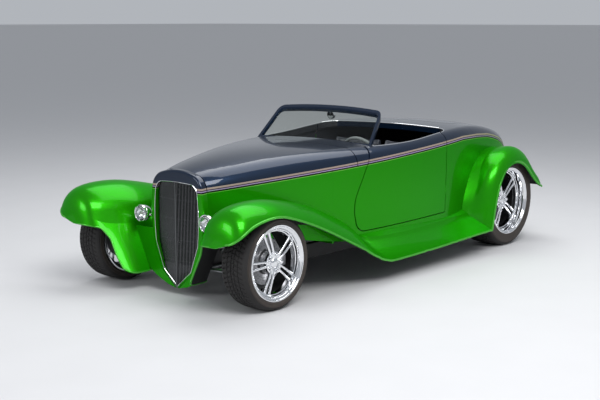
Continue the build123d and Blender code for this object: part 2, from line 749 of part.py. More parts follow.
def tube_arm(root_z, apex_z):
    """A-shaped arm: pivot bar along the frame, two legs and a joint boss."""
    with BuildPart() as a:
        add(rod((FRONT_AXLE_X - ARM_SPREAD - ARM_END, ARM_ROOT_Y, root_z),
                (FRONT_AXLE_X + ARM_SPREAD + ARM_END, ARM_ROOT_Y, root_z), ARM_R))
        for fore in (-1, 1):
            root = (FRONT_AXLE_X + fore * ARM_SPREAD, ARM_ROOT_Y, root_z)
            add(rod(root, (FRONT_AXLE_X, KINGPIN_Y, apex_z), ARM_R))
        add(king_rod(apex_z - BOSS_H / 2, apex_z + BOSS_H / 2, BOSS_R))
    return a.part


with BuildPart() as arms:
    add(tube_arm(LOWER_ROOT_Z, LOWER_APEX_Z))
    add(tube_arm(UPPER_ROOT_Z, UPPER_APEX_Z))
    add(box(FRONT_AXLE_X - 52, FRONT_AXLE_X + 52, 440, 500, 190, 208))
    add(rod((FRONT_AXLE_X, 470, 200), (FRONT_AXLE_X, 296, 368), 28))
with BuildPart() as front_suspension:
    add(arms.part)
    add(mirror(arms.part, about=Plane.XZ))
save(front_suspension, "front_suspension")

# Knuckles: upright between the two arms, spindle and caliper
DISC_R = 150
DISC_T = 12
UPRIGHT_R = 15
UPRIGHT_LOW = LOWER_APEX_Z + BOSS_H / 2 + FIT
UPRIGHT_HIGH = UPPER_APEX_Z - BOSS_H / 2 - FIT
FRONT_HUB_BACK = FRONT_WHEEL_Y + FRONT_TYRE_W / 2 - FRONT_HUB_INSET - 62
REAR_HUB_BACK = REAR_WHEEL_Y + REAR_TYRE_W / 2 - REAR_HUB_INSET - 62
SPINDLE_R = 24
SPINDLE_IN = 40
CARRIER_R = 40


def axle_rod(x, y_from, y_to, z, radius):
    """Round bar across the car on an axle's line."""
    return rod((x, y_from, z), (x, y_to, z), radius)


def caliper(axle_x, axle_z, disc_y, bridge_in):
    """Brake caliper that straddles the disc behind the axle."""
    gap = DISC_T / 2 + 5
    with BuildPart() as c:
        add(box(axle_x - 172, axle_x - 96, disc_y - 34, disc_y + 26, axle_z - 45, axle_z + 45))
        add(box(axle_x - 157, axle_x, disc_y - gap, disc_y + gap, axle_z - 60, axle_z + 60),
            mode=Mode.SUBTRACT)
        add(box(axle_x - 125, axle_x, bridge_in, disc_y - 20, axle_z - 28, axle_z + 28))
    return c.part


front_disc_y = FRONT_HUB_BACK - 20
with BuildPart() as knuckle_left:
    add(king_rod(UPRIGHT_LOW, UPRIGHT_HIGH, UPRIGHT_R))
    add(axle_rod(FRONT_AXLE_X, KINGPIN_Y - 20, front_disc_y - 14, FRONT_TYRE_R, CARRIER_R))
    add(axle_rod(FRONT_AXLE_X, KINGPIN_Y, FRONT_HUB_BACK + SPINDLE_IN, FRONT_TYRE_R, SPINDLE_R))
    add(caliper(FRONT_AXLE_X, FRONT_TYRE_R, front_disc_y, KINGPIN_Y - 20))
save(knuckle_left, "knuckle_left")
save_mirrored(knuckle_left, "knuckle_right")

# Rear axle: differential, tubes, spindles, springs and driveshaft
rear_disc_y = REAR_HUB_BACK - 20
SHAFT_R = 34
GEARBOX_REAR_X = 150
AXLE_TUBE_R = 36
DIFF_R = 125
DIFF_W = 120
SPRING_Y = 316
SPRING_R = 45
with BuildPart() as rear_axle:
    add(axle_rod(REAR_AXLE_X, -rear_disc_y + 14, rear_disc_y - 14, REAR_TYRE_R, AXLE_TUBE_R))
    with BuildSketch(Plane.XZ.offset(-DIFF_W / 2)):
        with Locations((REAR_AXLE_X, REAR_TYRE_R)):
            Circle(DIFF_R)
    extrude(amount=DIFF_W)
    fillet(rear_axle.edges().filter_by(GeomType.CIRCLE).filter_by(lambda e: abs(e.radius - DIFF_R) < 1), 30)
    add(rod((REAR_AXLE_X, 0, REAR_TYRE_R), (GEARBOX_REAR_X + 20, 0, 330), SHAFT_R))
    add(box(GEARBOX_REAR_X - FIT, GEARBOX_REAR_X + 100, -80, 80, 200, 450), mode=Mode.SUBTRACT)
    for side in (-1, 1):
        add(axle_rod(REAR_AXLE_X, 0, side * (REAR_HUB_BACK + SPINDLE_IN), REAR_TYRE_R, SPINDLE_R))
        y = side * SPRING_Y
        add(rod((REAR_AXLE_X, y, REAR_TYRE_R), (REAR_AXLE_X, y, KICK_Z - FIT), SPRING_R))
    bracket = caliper(REAR_AXLE_X, REAR_TYRE_R, rear_disc_y, rear_disc_y - 60)
    add(bracket)
    add(mirror(bracket, about=Plane.XZ))
save(rear_axle, "rear_axle")

# Wheels
SPOKE_PAIRS = 5
SPOKE_SPREAD = 9
SPOKE_W = 15
SPOKE_DEPTH = 26


def wheel_plane(x, y, z):
    return Plane(origin=(x, y, z), x_dir=(0, 1, 0), z_dir=(1, 0, 0))


def tyre_solid(x, y, r, w, rim_r):
    seat = rim_r - BEAD_DROP
    half = w / 2
    with BuildPart() as t:
        with BuildSketch(wheel_plane(x, y, r)):
            with BuildLine():
                Line((-half + 12, seat + FIT), (half - 12, seat + FIT))
                Line((half - 12, seat + FIT), (half - 12, rim_r + 1))
                Line((half - 12, rim_r + 1), (half - 5, rim_r + 1))
                ThreePointArc((half - 5, rim_r + 1), (half, (rim_r + r) / 2), (half - 9, r - 16))
                ThreePointArc((half - 9, r - 16), (half - 16, r - 4), (half - 32, r))
                Line((half - 32, r), (-half + 32, r))
                ThreePointArc((-half + 32, r), (-half + 16, r - 4), (-half + 9, r - 16))
                ThreePointArc((-half + 9, r - 16), (-half, (rim_r + r) / 2), (-half + 5, rim_r + 1))
                Line((-half + 5, rim_r + 1), (-half + 12, rim_r + 1))
                Line((-half + 12, rim_r + 1), (-half + 12, seat + FIT))
            make_face()
        revolve(axis=Axis((x, y, r), (0, 1, 0)))
    return t.part


def rim_solid(x, y, r, w, rim_r, inset, side, disc_y):
    """Barrel with a deep lip, five pairs of spokes, hub and brake disc."""
    seat = rim_r - BEAD_DROP
    half = w / 2
    lip = side * (half - 4)
    bead = side * (half - 12)
    well = side * (half - inset - 40)
    back = -side * (half - 4)
    back_bead = -side * (half - 12)
    face = side * (half - inset)
    axis = Axis((x, y, r), (0, 1, 0))
    with BuildPart() as b:
        with BuildSketch(wheel_plane(x, y, r)):
            with BuildLine():
                Polyline((lip, rim_r), (bead + side * FIT, rim_r), (bead + side * FIT, seat),
                         (bead - side * 22, seat),
                         (well, seat - 20), (back_bead + side * 60, seat - 20), (back_bead + side * 30, seat),
                         (back_bead - side * FIT, seat), (back_bead - side * FIT, rim_r), (back, rim_r),
                         (back, seat - 8), (back_bead + side * 28, seat - 8),
                         (back_bead + side * 58, seat - 28), (well - side * 4, seat - 28),
                         (bead - side * 26, seat - 8), (bead - side * 4, seat - 8),
                         (lip, rim_r - 9), close=True)
            make_face()
        revolve(axis=axis)
        front_plane = Plane(origin=(x, y + face, r), x_dir=(1, 0, 0), z_dir=(0, -side, 0))
        with BuildSketch(front_plane):
            for spread in (-SPOKE_SPREAD, SPOKE_SPREAD):
                with PolarLocations((50 + seat - 10) / 2, SPOKE_PAIRS, start_angle=90 + spread):
                    Rectangle(seat - 60, SPOKE_W)
            Circle(74)
        extrude(amount=SPOKE_DEPTH)
        hub_back = y + side * (half - inset - 62)
        add(rod((x, y + face - side * 4, r), (x, hub_back, r), 62))
        add(rod((x, y + face - side * 4, r), (x, y + face + side * 14, r), 34))
        add(rod((x, hub_back + side * 8, r), (x, side * (abs(disc_y) - DISC_T / 2), r), 58))
        add(rod((x, disc_y - DISC_T / 2, r), (x, disc_y + DISC_T / 2, r), DISC_R))
        add(axle_rod(x, side * (abs(disc_y) - 20), hub_back + side * (SPINDLE_IN + FIT), r, SPINDLE_R + FIT),
            mode=Mode.SUBTRACT)
    return b.part


# Per axle: name, x, track half width, tyre radius and width, rim radius, hub inset, disc y
AXLES = [
    ("front", FRONT_AXLE_X, FRONT_WHEEL_Y, FRONT_TYRE_R, FRONT_TYRE_W, FRONT_RIM_R, FRONT_HUB_INSET,
     front_disc_y),
    ("rear", REAR_AXLE_X, REAR_WHEEL_Y, REAR_TYRE_R, REAR_TYRE_W, REAR_RIM_R, REAR_HUB_INSET, rear_disc_y),
]
for end, x, y, r, w, rim_r, inset, disc_y in AXLES:
    for hand, side in (("left", 1), ("right", -1)):
        with BuildPart() as tyre:
            add(tyre_solid(x, side * y, r, w, rim_r))
        save(tyre, f"tyre_{end}_{hand}")
        with BuildPart() as rim:
            add(rim_solid(x, side * y, r, w, rim_r, inset, side, side * disc_y))
        save(rim, f"rim_{end}_{hand}")

# Engine with gearbox, radiator, exhaust and fuel tank
ENGINE_Y = 190
with BuildPart() as engine_block:
    add(box(660, 1300, -ENGINE_Y, ENGINE_Y, 225, 700))
    add(box(1180, 1240, -200 + FIT, 200 - FIT, 225, 280))
    add(box(GEARBOX_REAR_X, 660, -110, 110, 225, TUNNEL_TOP - FLOOR_T - 10))
save(engine_block, "engine_block")

with BuildPart() as radiator:
    add(box(1505, 1545, -185, 185, 285 + FIT, 730))
save(radiator, "radiator")

PIPE_Z = 163
PIPE_Y = 275
PIPE_R = 27
PIPE_END_X = -800
PORT_X = 900
PORT_Z = 300
HANGERS = (560, -560)
with BuildPart() as exhaust:
    for side in (-1, 1):
        with BuildLine():
            FilletPolyline((PORT_X, side * (ENGINE_Y + FIT), PORT_Z), (PORT_X, side * 245, PORT_Z),
                           (PORT_X, side * 245, PIPE_Z), (760, side * PIPE_Y, PIPE_Z),
                           (PIPE_END_X, side * PIPE_Y, PIPE_Z), radius=30)
        with BuildSketch(Plane(origin=(PORT_X, side * (ENGINE_Y + FIT), PORT_Z), z_dir=(0, side, 0))):
            Circle(PIPE_R)
        sweep()
        for x in HANGERS:
            y0, y1 = sorted((side * PIPE_Y, side * (RAIL_OUT[2][1] - RAIL_W - FIT)))
            add(box(x - 12, x + 12, y0, y1, PIPE_Z + 8, PIPE_Z + 20))
save(exhaust, "exhaust")

with BuildPart() as fuel_tank:
    add(box(-1800, -1500, -275, 275, 360, TRUNK_FLOOR_Z - FIT))
    fillet(fuel_tank.edges().filter_by(Axis.Z), 30)
save(fuel_tank, "fuel_tank")

# Windshield
GLASS_BASE = (215, 0, 930)
RAKE = (0.7489, 0.6628)
windshield_plane = Plane(origin=GLASS_BASE, x_dir=(0, 1, 0), z_dir=(RAKE[0], 0, RAKE[1]))
FRAME_W = 24
FRAME_T = 34
GLASS_T = 6
CORNER_R = 70


def windshield_outline(inset):
    with BuildSketch(windshield_plane) as sk:
        with BuildLine():
            Line((0, -40), (552, -40))
            Line((552, -40), (496, 281))
            ThreePointArc((496, 281), (250, 303), (0, 310))
            mirror(about=Plane.YZ)
        make_face()
        if inset:
            offset(amount=-inset, kind=Kind.INTERSECTION)
        corners = sk.vertices().filter_by(lambda v: v.Y > 200 and abs(v.X) > 300)
        fillet(corners, CORNER_R - inset)
    return sk.sketch


with BuildPart() as pane_room:
    add(windshield_outline(FRAME_W))
    extrude(amount=FRAME_T, both=True)
with BuildPart() as windshield_frame:
    add(windshield_outline(0))
    extrude(amount=FRAME_T / 2, both=True)
    add(pane_room.part, mode=Mode.SUBTRACT)
    add(outer_clear, mode=Mode.SUBTRACT)
save(windshield_frame, "windshield_frame")

with BuildPart() as windshield_glass:
    add(windshield_outline(FRAME_W + FIT))
    extrude(amount=GLASS_T / 2, both=True)
    add(outer_clear, mode=Mode.SUBTRACT)
save(windshield_glass, "windshield_glass")

MIRROR_C = (20, 0, 1104)
MIRROR_R = 32
MIRROR_STEM_R = 5
with BuildPart() as mirror_part:
    add(rod(MIRROR_C, (MIRROR_C[0] - 20, 0, MIRROR_C[2] + 2), MIRROR_R))
    add(rod((MIRROR_C[0] - 6, 0, MIRROR_C[2]), (MIRROR_C[0] + 10, 0, MIRROR_C[2] + 22), MIRROR_STEM_R))
    add(windshield_frame.part, mode=Mode.SUBTRACT)
    add(windshield_glass.part, mode=Mode.SUBTRACT)
save(mirror_part, "mirror")

# Cockpit
with BuildPart() as dashboard:
    add(side_prism([(300, 893), (195, 893), (172, 870), (172, 805), (200, 780), (300, 780)], -CUT_Y, CUT_Y))
    add(wall_clear, mode=Mode.INTERSECT)
    add(box(100, 400, -500, 500, 700, 1000), mode=Mode.INTERSECT)
save(dashboard, "dashboard")

SEAT_Y = 500
with BuildPart() as seat_cushion:
    add(side_prism([(-60, FLOOR_Z + FLOOR_T + FIT), (-60, 420), (-90, 455), (-300, 450), (-560, 430),
                    (-560, FLOOR_Z + FLOOR_T + FIT)], -SEAT_Y, SEAT_Y))
    add(box(-900, 0, -TUNNEL_Y - FIT, TUNNEL_Y + FIT, 0, TUNNEL_TOP + FIT), mode=Mode.SUBTRACT)
save(seat_cushion, "seat_cushion")

with BuildPart() as seat_back:
    add(side_prism([(-560 - FIT, TUNNEL_TOP + FIT), (-560 - FIT, 470), (-620, 860), (-650, 890), (-690, 880),
                    (-740, 600), (-740, TUNNEL_TOP + FIT)], -SEAT_Y, SEAT_Y))
save(seat_back, "seat_back")

WHEEL_C = (74, 350, 807)
COLUMN_TILT = 25
ct, st = cos(radians(COLUMN_TILT)), sin(radians(COLUMN_TILT))


def column_point(along):
    return (WHEEL_C[0] + ct * along, WHEEL_C[1], WHEEL_C[2] - st * along)


COLUMN_START = 30
COLUMN_END = (FIREWALL_X - FIT - WHEEL_C[0]) / ct
with BuildPart() as steering_column:
    add(rod(column_point(COLUMN_START + FIT), column_point(COLUMN_END + 60), 20))
    add(box(FIREWALL_X - FIT, 1000, 0, 500, 300, 900), mode=Mode.SUBTRACT)
save(steering_column, "steering_column")

column_axis = Axis(WHEEL_C, (ct, 0, -st))
with BuildPart() as steering_wheel:
    with BuildSketch(Plane(origin=WHEEL_C, x_dir=(0, 1, 0), z_dir=(st, 0, ct))):
        with Locations((170, 0)):
            Circle(12)
    revolve(axis=column_axis)
    add(rod(column_point(-12), column_point(COLUMN_START), 32))
    with BuildSketch(Plane(origin=column_point(2), x_dir=(0, 1, 0), z_dir=(ct, 0, -st))):
        for a in (0, 180, 270):
            with Locations(Location((0, 0), a)):
                with Locations((98, 0)):
                    Rectangle(144, 20)
    extrude(amount=5)
save(steering_wheel, "steering_wheel")

# Lamps
LAMP_Y = 312
LAMP_Z = 524
LAMP_R = 58
LAMP_FRONT_X = 1668
LAMP_RIM = 6
LENS_IN = 12
with BuildPart() as lamp:
    with BuildSketch(Plane(origin=(0, LAMP_Y, LAMP_Z), x_dir=(1, 0, 0), z_dir=(0, -1, 0))):
        with BuildLine():
            Line((LAMP_FRONT_X, 0), (LAMP_FRONT_X, LAMP_R))
            Line((LAMP_FRONT_X, LAMP_R), (LAMP_FRONT_X - 16, LAMP_R))
            Spline((LAMP_FRONT_X - 16, LAMP_R), (LAMP_FRONT_X - 66, 42), (LAMP_FRONT_X - 94, 0),
                   tangents=[(-1, 0), (0, -1)])
            Line((LAMP_FRONT_X - 94, 0), (LAMP_FRONT_X, 0))
        make_face()
    revolve(axis=Axis((0, LAMP_Y, LAMP_Z), (1, 0, 0)))
    with BuildSketch(Plane(origin=(LAMP_FRONT_X - LENS_IN, LAMP_Y, LAMP_Z), z_dir=(1, 0, 0))):
        Circle(LAMP_R - LAMP_RIM)
    extrude(amount=40, mode=Mode.SUBTRACT)
    add(rod((1604, LAMP_Y, LAMP_Z - 14), (1604, 250, LAMP_Z - 14), 9))
    add(grille_shell.part, mode=Mode.SUBTRACT)
with BuildPart() as headlamps:
    add(lamp.part)
    add(mirror(lamp.part, about=Plane.XZ))
save(headlamps, "headlamps")

with BuildPart() as headlamp_lenses:
    for side in (-1, 1):
        y = side * LAMP_Y
        add(rod((LAMP_FRONT_X - LENS_IN, y, LAMP_Z), (LAMP_FRONT_X + 2, y, LAMP_Z), LAMP_R - LAMP_RIM - FIT))
save(headlamp_lenses, "headlamp_lenses")

with BuildPart() as tail_lamps:
    for side in (-1, 1):
        add(rod((-1850, side * 300, 600), (-1946, side * 300, 600), 30))
    add(outer_clear, mode=Mode.SUBTRACT)
save(tail_lamps, "tail_lamps")
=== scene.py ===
import heapq
from math import atan2, ceil, copysign, cos, exp, hypot, pi, radians, sin

import bmesh
import bpy
from mathutils import Matrix, Vector
from mathutils.bvhtree import BVHTree


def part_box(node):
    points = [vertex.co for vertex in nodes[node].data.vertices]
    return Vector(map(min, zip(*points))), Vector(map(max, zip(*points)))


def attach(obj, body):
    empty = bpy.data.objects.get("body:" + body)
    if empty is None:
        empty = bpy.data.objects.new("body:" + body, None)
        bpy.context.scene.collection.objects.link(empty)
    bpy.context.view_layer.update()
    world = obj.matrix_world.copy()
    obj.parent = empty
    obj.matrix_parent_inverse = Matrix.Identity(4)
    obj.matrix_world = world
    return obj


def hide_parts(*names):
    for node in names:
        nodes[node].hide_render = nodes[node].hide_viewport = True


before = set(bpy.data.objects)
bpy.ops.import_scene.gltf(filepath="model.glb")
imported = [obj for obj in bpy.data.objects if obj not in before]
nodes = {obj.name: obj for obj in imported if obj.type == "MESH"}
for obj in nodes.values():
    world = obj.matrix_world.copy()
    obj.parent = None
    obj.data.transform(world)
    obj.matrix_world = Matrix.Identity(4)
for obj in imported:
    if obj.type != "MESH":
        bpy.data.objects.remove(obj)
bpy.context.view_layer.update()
scene = bpy.context.scene

# Metres. +X forward, +Y left, +Z up, floor at Z 0.

# Belt line of the body, which the two-tone paint, the stripes and the painted highlight and reflection bands
# follow
BELT_Z = 0.707
BELT_X = 1.590
BELT_SLOPE = 0.0785
BELT_FRONT_X = 1.9
DECK_EDGE = [(-0.81, 0.8954), (-1.05, 0.893), (-1.25, 0.880), (-1.38, 0.858), (-1.50, 0.830), (-1.61, 0.790),
             (-1.72, 0.740), (-1.85, 0.640), (-1.925, 0.540)]
CURVE_X0 = -2.0
CURVE_SPAN = 4.0


def belt(x):
    return BELT_Z + BELT_SLOPE * (BELT_X - x)


# Materials

COAT_ROUGH = 0.03
LEAST_ROUGH = 0.02


def new_material(name):
    m = bpy.data.materials.new(name)
    m.use_nodes = True
    return m, m.node_tree, m.node_tree.nodes["Principled BSDF"]


def set_inputs(node, values):
    for socket, value in values.items():
        node.inputs[socket].default_value = value


def new_node(tree, kind, values=None):
    node = tree.nodes.new("ShaderNode" + kind)
    set_inputs(node, values or {})
    return node


def ramp_node(tree, stops, interpolation="LINEAR"):
    node = new_node(tree, "ValToRGB")
    ramp = node.color_ramp
    ramp.interpolation = interpolation
    while len(ramp.elements) < len(stops):
        ramp.elements.new(1.0)
    for element, (at, colour) in zip(ramp.elements, stops):
        element.position = at
        element.color = (*colour, 1)
    return node


def object_noise(tree, scale, detail=3.0):
    place = new_node(tree, "TexCoord")
    noise = new_node(tree, "TexNoise", {"Scale": scale, "Detail": detail})
    tree.links.new(place.outputs["Object"], noise.inputs["Vector"])
    return place, noise


def vary_gloss(tree, noise, shader, low, high):
    gloss = new_node(tree, "MapRange", {"To Min": max(LEAST_ROUGH, low), "To Max": high})
    tree.links.new(noise.outputs["Fac"], gloss.inputs["Value"])
    tree.links.new(gloss.outputs["Result"], shader.inputs["Roughness"])


def surface(name, colour, metallic=0.0, rough=0.5, coat=0.0, grain=80.0, spread=0.12, vary=0.08, bump=0.0,
            bump_depth=0.0004):
    """Plain finish whose colour and gloss vary slightly over the surface, with an optional grain."""
    m, tree, b = new_material(name)
    link = tree.links.new
    set_inputs(b, {"Metallic": metallic, "Coat Weight": coat, "Coat Roughness": COAT_ROUGH})
    _, noise = object_noise(tree, grain)
    dark = tuple(c * (1 - vary) for c in colour)
    light = tuple(min(1.0, c * (1 + vary)) for c in colour)
    tint = ramp_node(tree, [(0.3, dark), (0.7, light)])
    link(noise.outputs["Fac"], tint.inputs["Fac"])
    link(tint.outputs["Color"], b.inputs["Base Color"])
    vary_gloss(tree, noise, b, rough * (1 - spread), rough * (1 + spread))
    if bump:
        _, fine = object_noise(tree, bump, 4.0)
        relief = new_node(tree, "Bump", {"Strength": 0.5, "Distance": bump_depth})
        link(fine.outputs["Fac"], relief.inputs["Height"])
        link(relief.outputs["Normal"], b.inputs["Normal"])
    return m


GREEN = (0.017, 0.305, 0.0015)
GREEN_DEEP = (0.010, 0.240, 0.001)
BLUE_BLACK = (0.004, 0.015, 0.040)
# Bands up from the belt line, each from its offset on: green, a painted highlight of the panel's rounded edge
# in light green, then black, lilac, purple and dark stripes, a painted reflection in tan, then blue-black.
STRIPES_AND_SHEEN = [(-1.0, GREEN), (-0.0075, (0.22, 0.62, 0.09)), (-0.0035, (0.003, 0.003, 0.005)),
           (0.0060, (0.50, 0.40, 0.62)), (0.0115, (0.20, 0.10, 0.26)), (0.0145, (0.012, 0.010, 0.016)),
           (0.0180, (0.50, 0.38, 0.32)), (0.0300, BLUE_BLACK)]
BAND_WINDOW = 0.1
PAINT_METAL = 0.60
PAINT_ROUGH = 0.32
PAINT_GRAIN = 900.0
PAINT_COAT = 0.20
DARK_COAT = 0.75
PAINT_SHEEN = 0.10
GREEN_EDGE = (0.30, 1.0, 0.15)
PLAIN_EDGE = (1.0, 1.0, 1.0)


def paint(name, colour, deep, coat, edge):
    """Metallic paint under clear lacquer: a fine flake over one colour."""
    m = surface(name, colour, metallic=PAINT_METAL, rough=PAINT_ROUGH, coat=coat, grain=PAINT_GRAIN,
                spread=0.10, vary=0.10)
    shader = m.node_tree.nodes["Principled BSDF"]
    set_inputs(shader, {"Specular IOR Level": PAINT_SHEEN, "Specular Tint": (*edge, 1)})
    m.node_tree.nodes["Color Ramp"].color_ramp.elements[0].color = (*deep, 1)
    return m


def two_tone(name):
    """Green below the belt line, blue-black above it, and between them the stripes, a painted highlight and a
    painted reflection band, by place on the body.
    """
    m, tree, b = new_material(name)
    link = tree.links.new
    set_inputs(b, {"Metallic": PAINT_METAL, "Specular IOR Level": PAINT_SHEEN, "Coat Roughness": COAT_ROUGH})
    place, noise = object_noise(tree, PAINT_GRAIN)
    split = new_node(tree, "SeparateXYZ")
    link(place.outputs["Object"], split.inputs["Vector"])
    to_curve = new_node(tree, "MapRange", {"From Min": CURVE_X0, "From Max": CURVE_X0 + CURVE_SPAN})
    link(split.outputs["X"], to_curve.inputs["Value"])
    line = new_node(tree, "FloatCurve")
    points = [(BELT_FRONT_X, belt(BELT_FRONT_X))] + DECK_EDGE
    curve = line.mapping.curves[0]
    for i, (x, z) in enumerate(sorted(points)):
        u = (x - CURVE_X0) / CURVE_SPAN
        point = curve.points[i] if i < 2 else curve.points.new(u, z)
        point.location = (u, z)
    for point in curve.points:
        point.handle_type = "VECTOR"
    line.mapping.update()
    link(to_curve.outputs["Result"], line.inputs["Value"])
    over = new_node(tree, "Math")
    over.operation = "SUBTRACT"
    link(split.outputs["Z"], over.inputs[0])
    link(line.outputs["Value"], over.inputs[1])
    share = new_node(tree, "MapRange", {"From Min": -BAND_WINDOW / 2, "From Max": BAND_WINDOW / 2})
    link(over.outputs["Value"], share.inputs["Value"])
    stops = [(max(0.0, t / BAND_WINDOW + 0.5), colour) for t, colour in STRIPES_AND_SHEEN]
    tones = ramp_node(tree, stops, "CONSTANT")
    link(share.outputs["Result"], tones.inputs["Fac"])
    dark_from = STRIPES_AND_SHEEN[-1][0] / BAND_WINDOW + 0.5
    for socket, below, above in (("Coat Weight", (PAINT_COAT,) * 3, (DARK_COAT,) * 3),
                                 ("Specular Tint", GREEN_EDGE, PLAIN_EDGE)):
        step = ramp_node(tree, [(0.0, below), (dark_from, above)], "CONSTANT")
        link(share.outputs["Result"], step.inputs["Fac"])
        link(step.outputs["Color"], b.inputs[socket])
    flake = new_node(tree, "Mix")
    flake.data_type = "RGBA"
    flake.blend_type = "MULTIPLY"
    flake.inputs["Factor"].default_value = 1.0
    shade = ramp_node(tree, [(0.3, (0.86, 0.86, 0.86)), (0.7, (1.0, 1.0, 1.0))])
    link(noise.outputs["Fac"], shade.inputs["Fac"])
    link(tones.outputs["Color"], flake.inputs["A"])
    link(shade.outputs["Color"], flake.inputs["B"])
    link(flake.outputs["Result"], b.inputs["Base Color"])
    vary_gloss(tree, noise, b, 0.26, 0.34)
    return m


def clear_glass(name, tint, sheen):
    """Thin pane: see-through, with a mirror-like sheen at grazing angles."""
    m, tree, b = new_material(name)
    link = tree.links.new
    tree.nodes.remove(b)
    gloss = new_node(tree, "BsdfGlossy", {"Color": (0.95, 0.97, 1.0, 1), "Roughness": 0.02})
    through = new_node(tree, "BsdfTransparent")
    _, noise = object_noise(tree, 6.0)
    shade = ramp_node(tree, [(0.3, tuple(c * 0.985 for c in tint)), (0.7, tint)])
    link(noise.outputs["Fac"], shade.inputs["Fac"])
    link(shade.outputs["Color"], through.inputs["Color"])
    layer = new_node(tree, "LayerWeight", {"Blend": sheen})
    mix = new_node(tree, "MixShader")
    link(layer.outputs["Fresnel"], mix.inputs["Fac"])
    link(through.outputs["BSDF"], mix.inputs[1])
    link(gloss.outputs["BSDF"], mix.inputs[2])
    link(mix.outputs["Shader"], tree.nodes["Material Output"].inputs["Surface"])
    return m


green = paint("paint_green", GREEN, GREEN_DEEP, PAINT_COAT, GREEN_EDGE)
dark_paint = paint("paint_dark", BLUE_BLACK, (0.003, 0.012, 0.033), DARK_COAT, PLAIN_EDGE)
# The beads are painted a lighter green than the body: a painted highlight along the rolled lips.
bead_highlight_paint = paint("bead_highlight_paint", (0.075, 0.43, 0.045), (0.060, 0.37, 0.035), 0.35, (0.6, 1.0, 0.5))
body_paint = two_tone("body_two_tone")
chrome = surface("chrome", (0.80, 0.81, 0.83), metallic=1.0, rough=0.055, grain=30.0, vary=0.03)
satin = surface("satin_metal", (0.42, 0.43, 0.45), metallic=1.0, rough=0.30, grain=60.0)
steel = surface("steel", (0.30, 0.30, 0.31), metallic=1.0, rough=0.38, grain=50.0)
iron = surface("iron", (0.060, 0.062, 0.065), metallic=0.4, rough=0.55, grain=40.0, bump=180.0)
black_metal = surface("black_metal", (0.012, 0.012, 0.013), metallic=0.2, rough=0.42, grain=60.0, bump=300.0)
bar_metal = surface("bar_metal", (0.16, 0.165, 0.17), metallic=1.0, rough=0.26, grain=90.0)
tread = surface("tread_rubber", (0.017, 0.016, 0.016), rough=0.86, grain=120.0, vary=0.25, bump=900.0)
sidewall = surface("sidewall_rubber", (0.034, 0.026, 0.021), rough=0.62, grain=60.0, vary=0.20, bump=500.0)
leather = surface("leather", (0.022, 0.026, 0.035), rough=0.46, grain=25.0, vary=0.18, bump=420.0,
                  bump_depth=0.0006)
piping_leather = surface("piping_leather", (0.050, 0.056, 0.070), rough=0.42, grain=30.0, vary=0.10)
carpet = surface("carpet", (0.011, 0.011, 0.013), rough=0.95, grain=300.0, vary=0.30, bump=1500.0,
                 bump_depth=0.002)
trim = surface("trim", (0.014, 0.015, 0.019), grain=40.0, bump=600.0)
# Black finish on the fenders' wheel side and on faces that look down or back towards the wheels.
well_and_underside_black = surface("well_and_underside_black", (0.009, 0.009, 0.010), rough=0.85, grain=60.0, vary=0.20, bump=350.0,
                    bump_depth=0.001)
grip = surface("wheel_grip", (0.30, 0.31, 0.33), rough=0.45, grain=200.0, vary=0.25, bump=700.0)
needle = surface("needle", (0.70, 0.10, 0.02), rough=0.40, grain=90.0)
reflector = surface("lamp_reflector", (0.86, 0.87, 0.88), metallic=1.0, rough=0.10, grain=40.0, vary=0.04)
rubber = surface("rubber", (0.012, 0.012, 0.012), rough=0.70)
dial = surface("dial_face", (0.010, 0.010, 0.012), rough=0.40, grain=90.0)
ivory = surface("dial_marks", (0.72, 0.70, 0.64), rough=0.45, grain=90.0)
bulb_glow = surface("lamp_bulb", (0.80, 0.78, 0.70), rough=0.20, grain=90.0)
pane = clear_glass("windshield_glass", (0.88, 0.90, 0.88), 0.12)
lens = clear_glass("lamp_glass", (0.97, 0.98, 0.98), 0.25)
red_lens = surface("tail_lens", (0.42, 0.008, 0.006), rough=0.10, coat=1.0, grain=70.0)
mirror_face = surface("mirror_face", (0.86, 0.87, 0.88), metallic=1.0, rough=0.02, grain=20.0, vary=0.01)


# Mesh building

HANDS = (("left", 1), ("right", -1))
WELD = 1e-5
CAD_WELD = 2e-5
SHARP_EDGE = radians(38)


def new_object(name, data):
    made = bpy.data.objects.new(name, data)
    scene.collection.objects.link(made)
    return made


def give(mesh, materials, marks=None):
    """Materials of a mesh, and which of them each face has: the first, if no marks are given."""
    mesh.materials.clear()
    for m in materials:
        mesh.materials.append(m)
    mesh.polygons.foreach_set("material_index", marks or [0] * len(mesh.polygons))


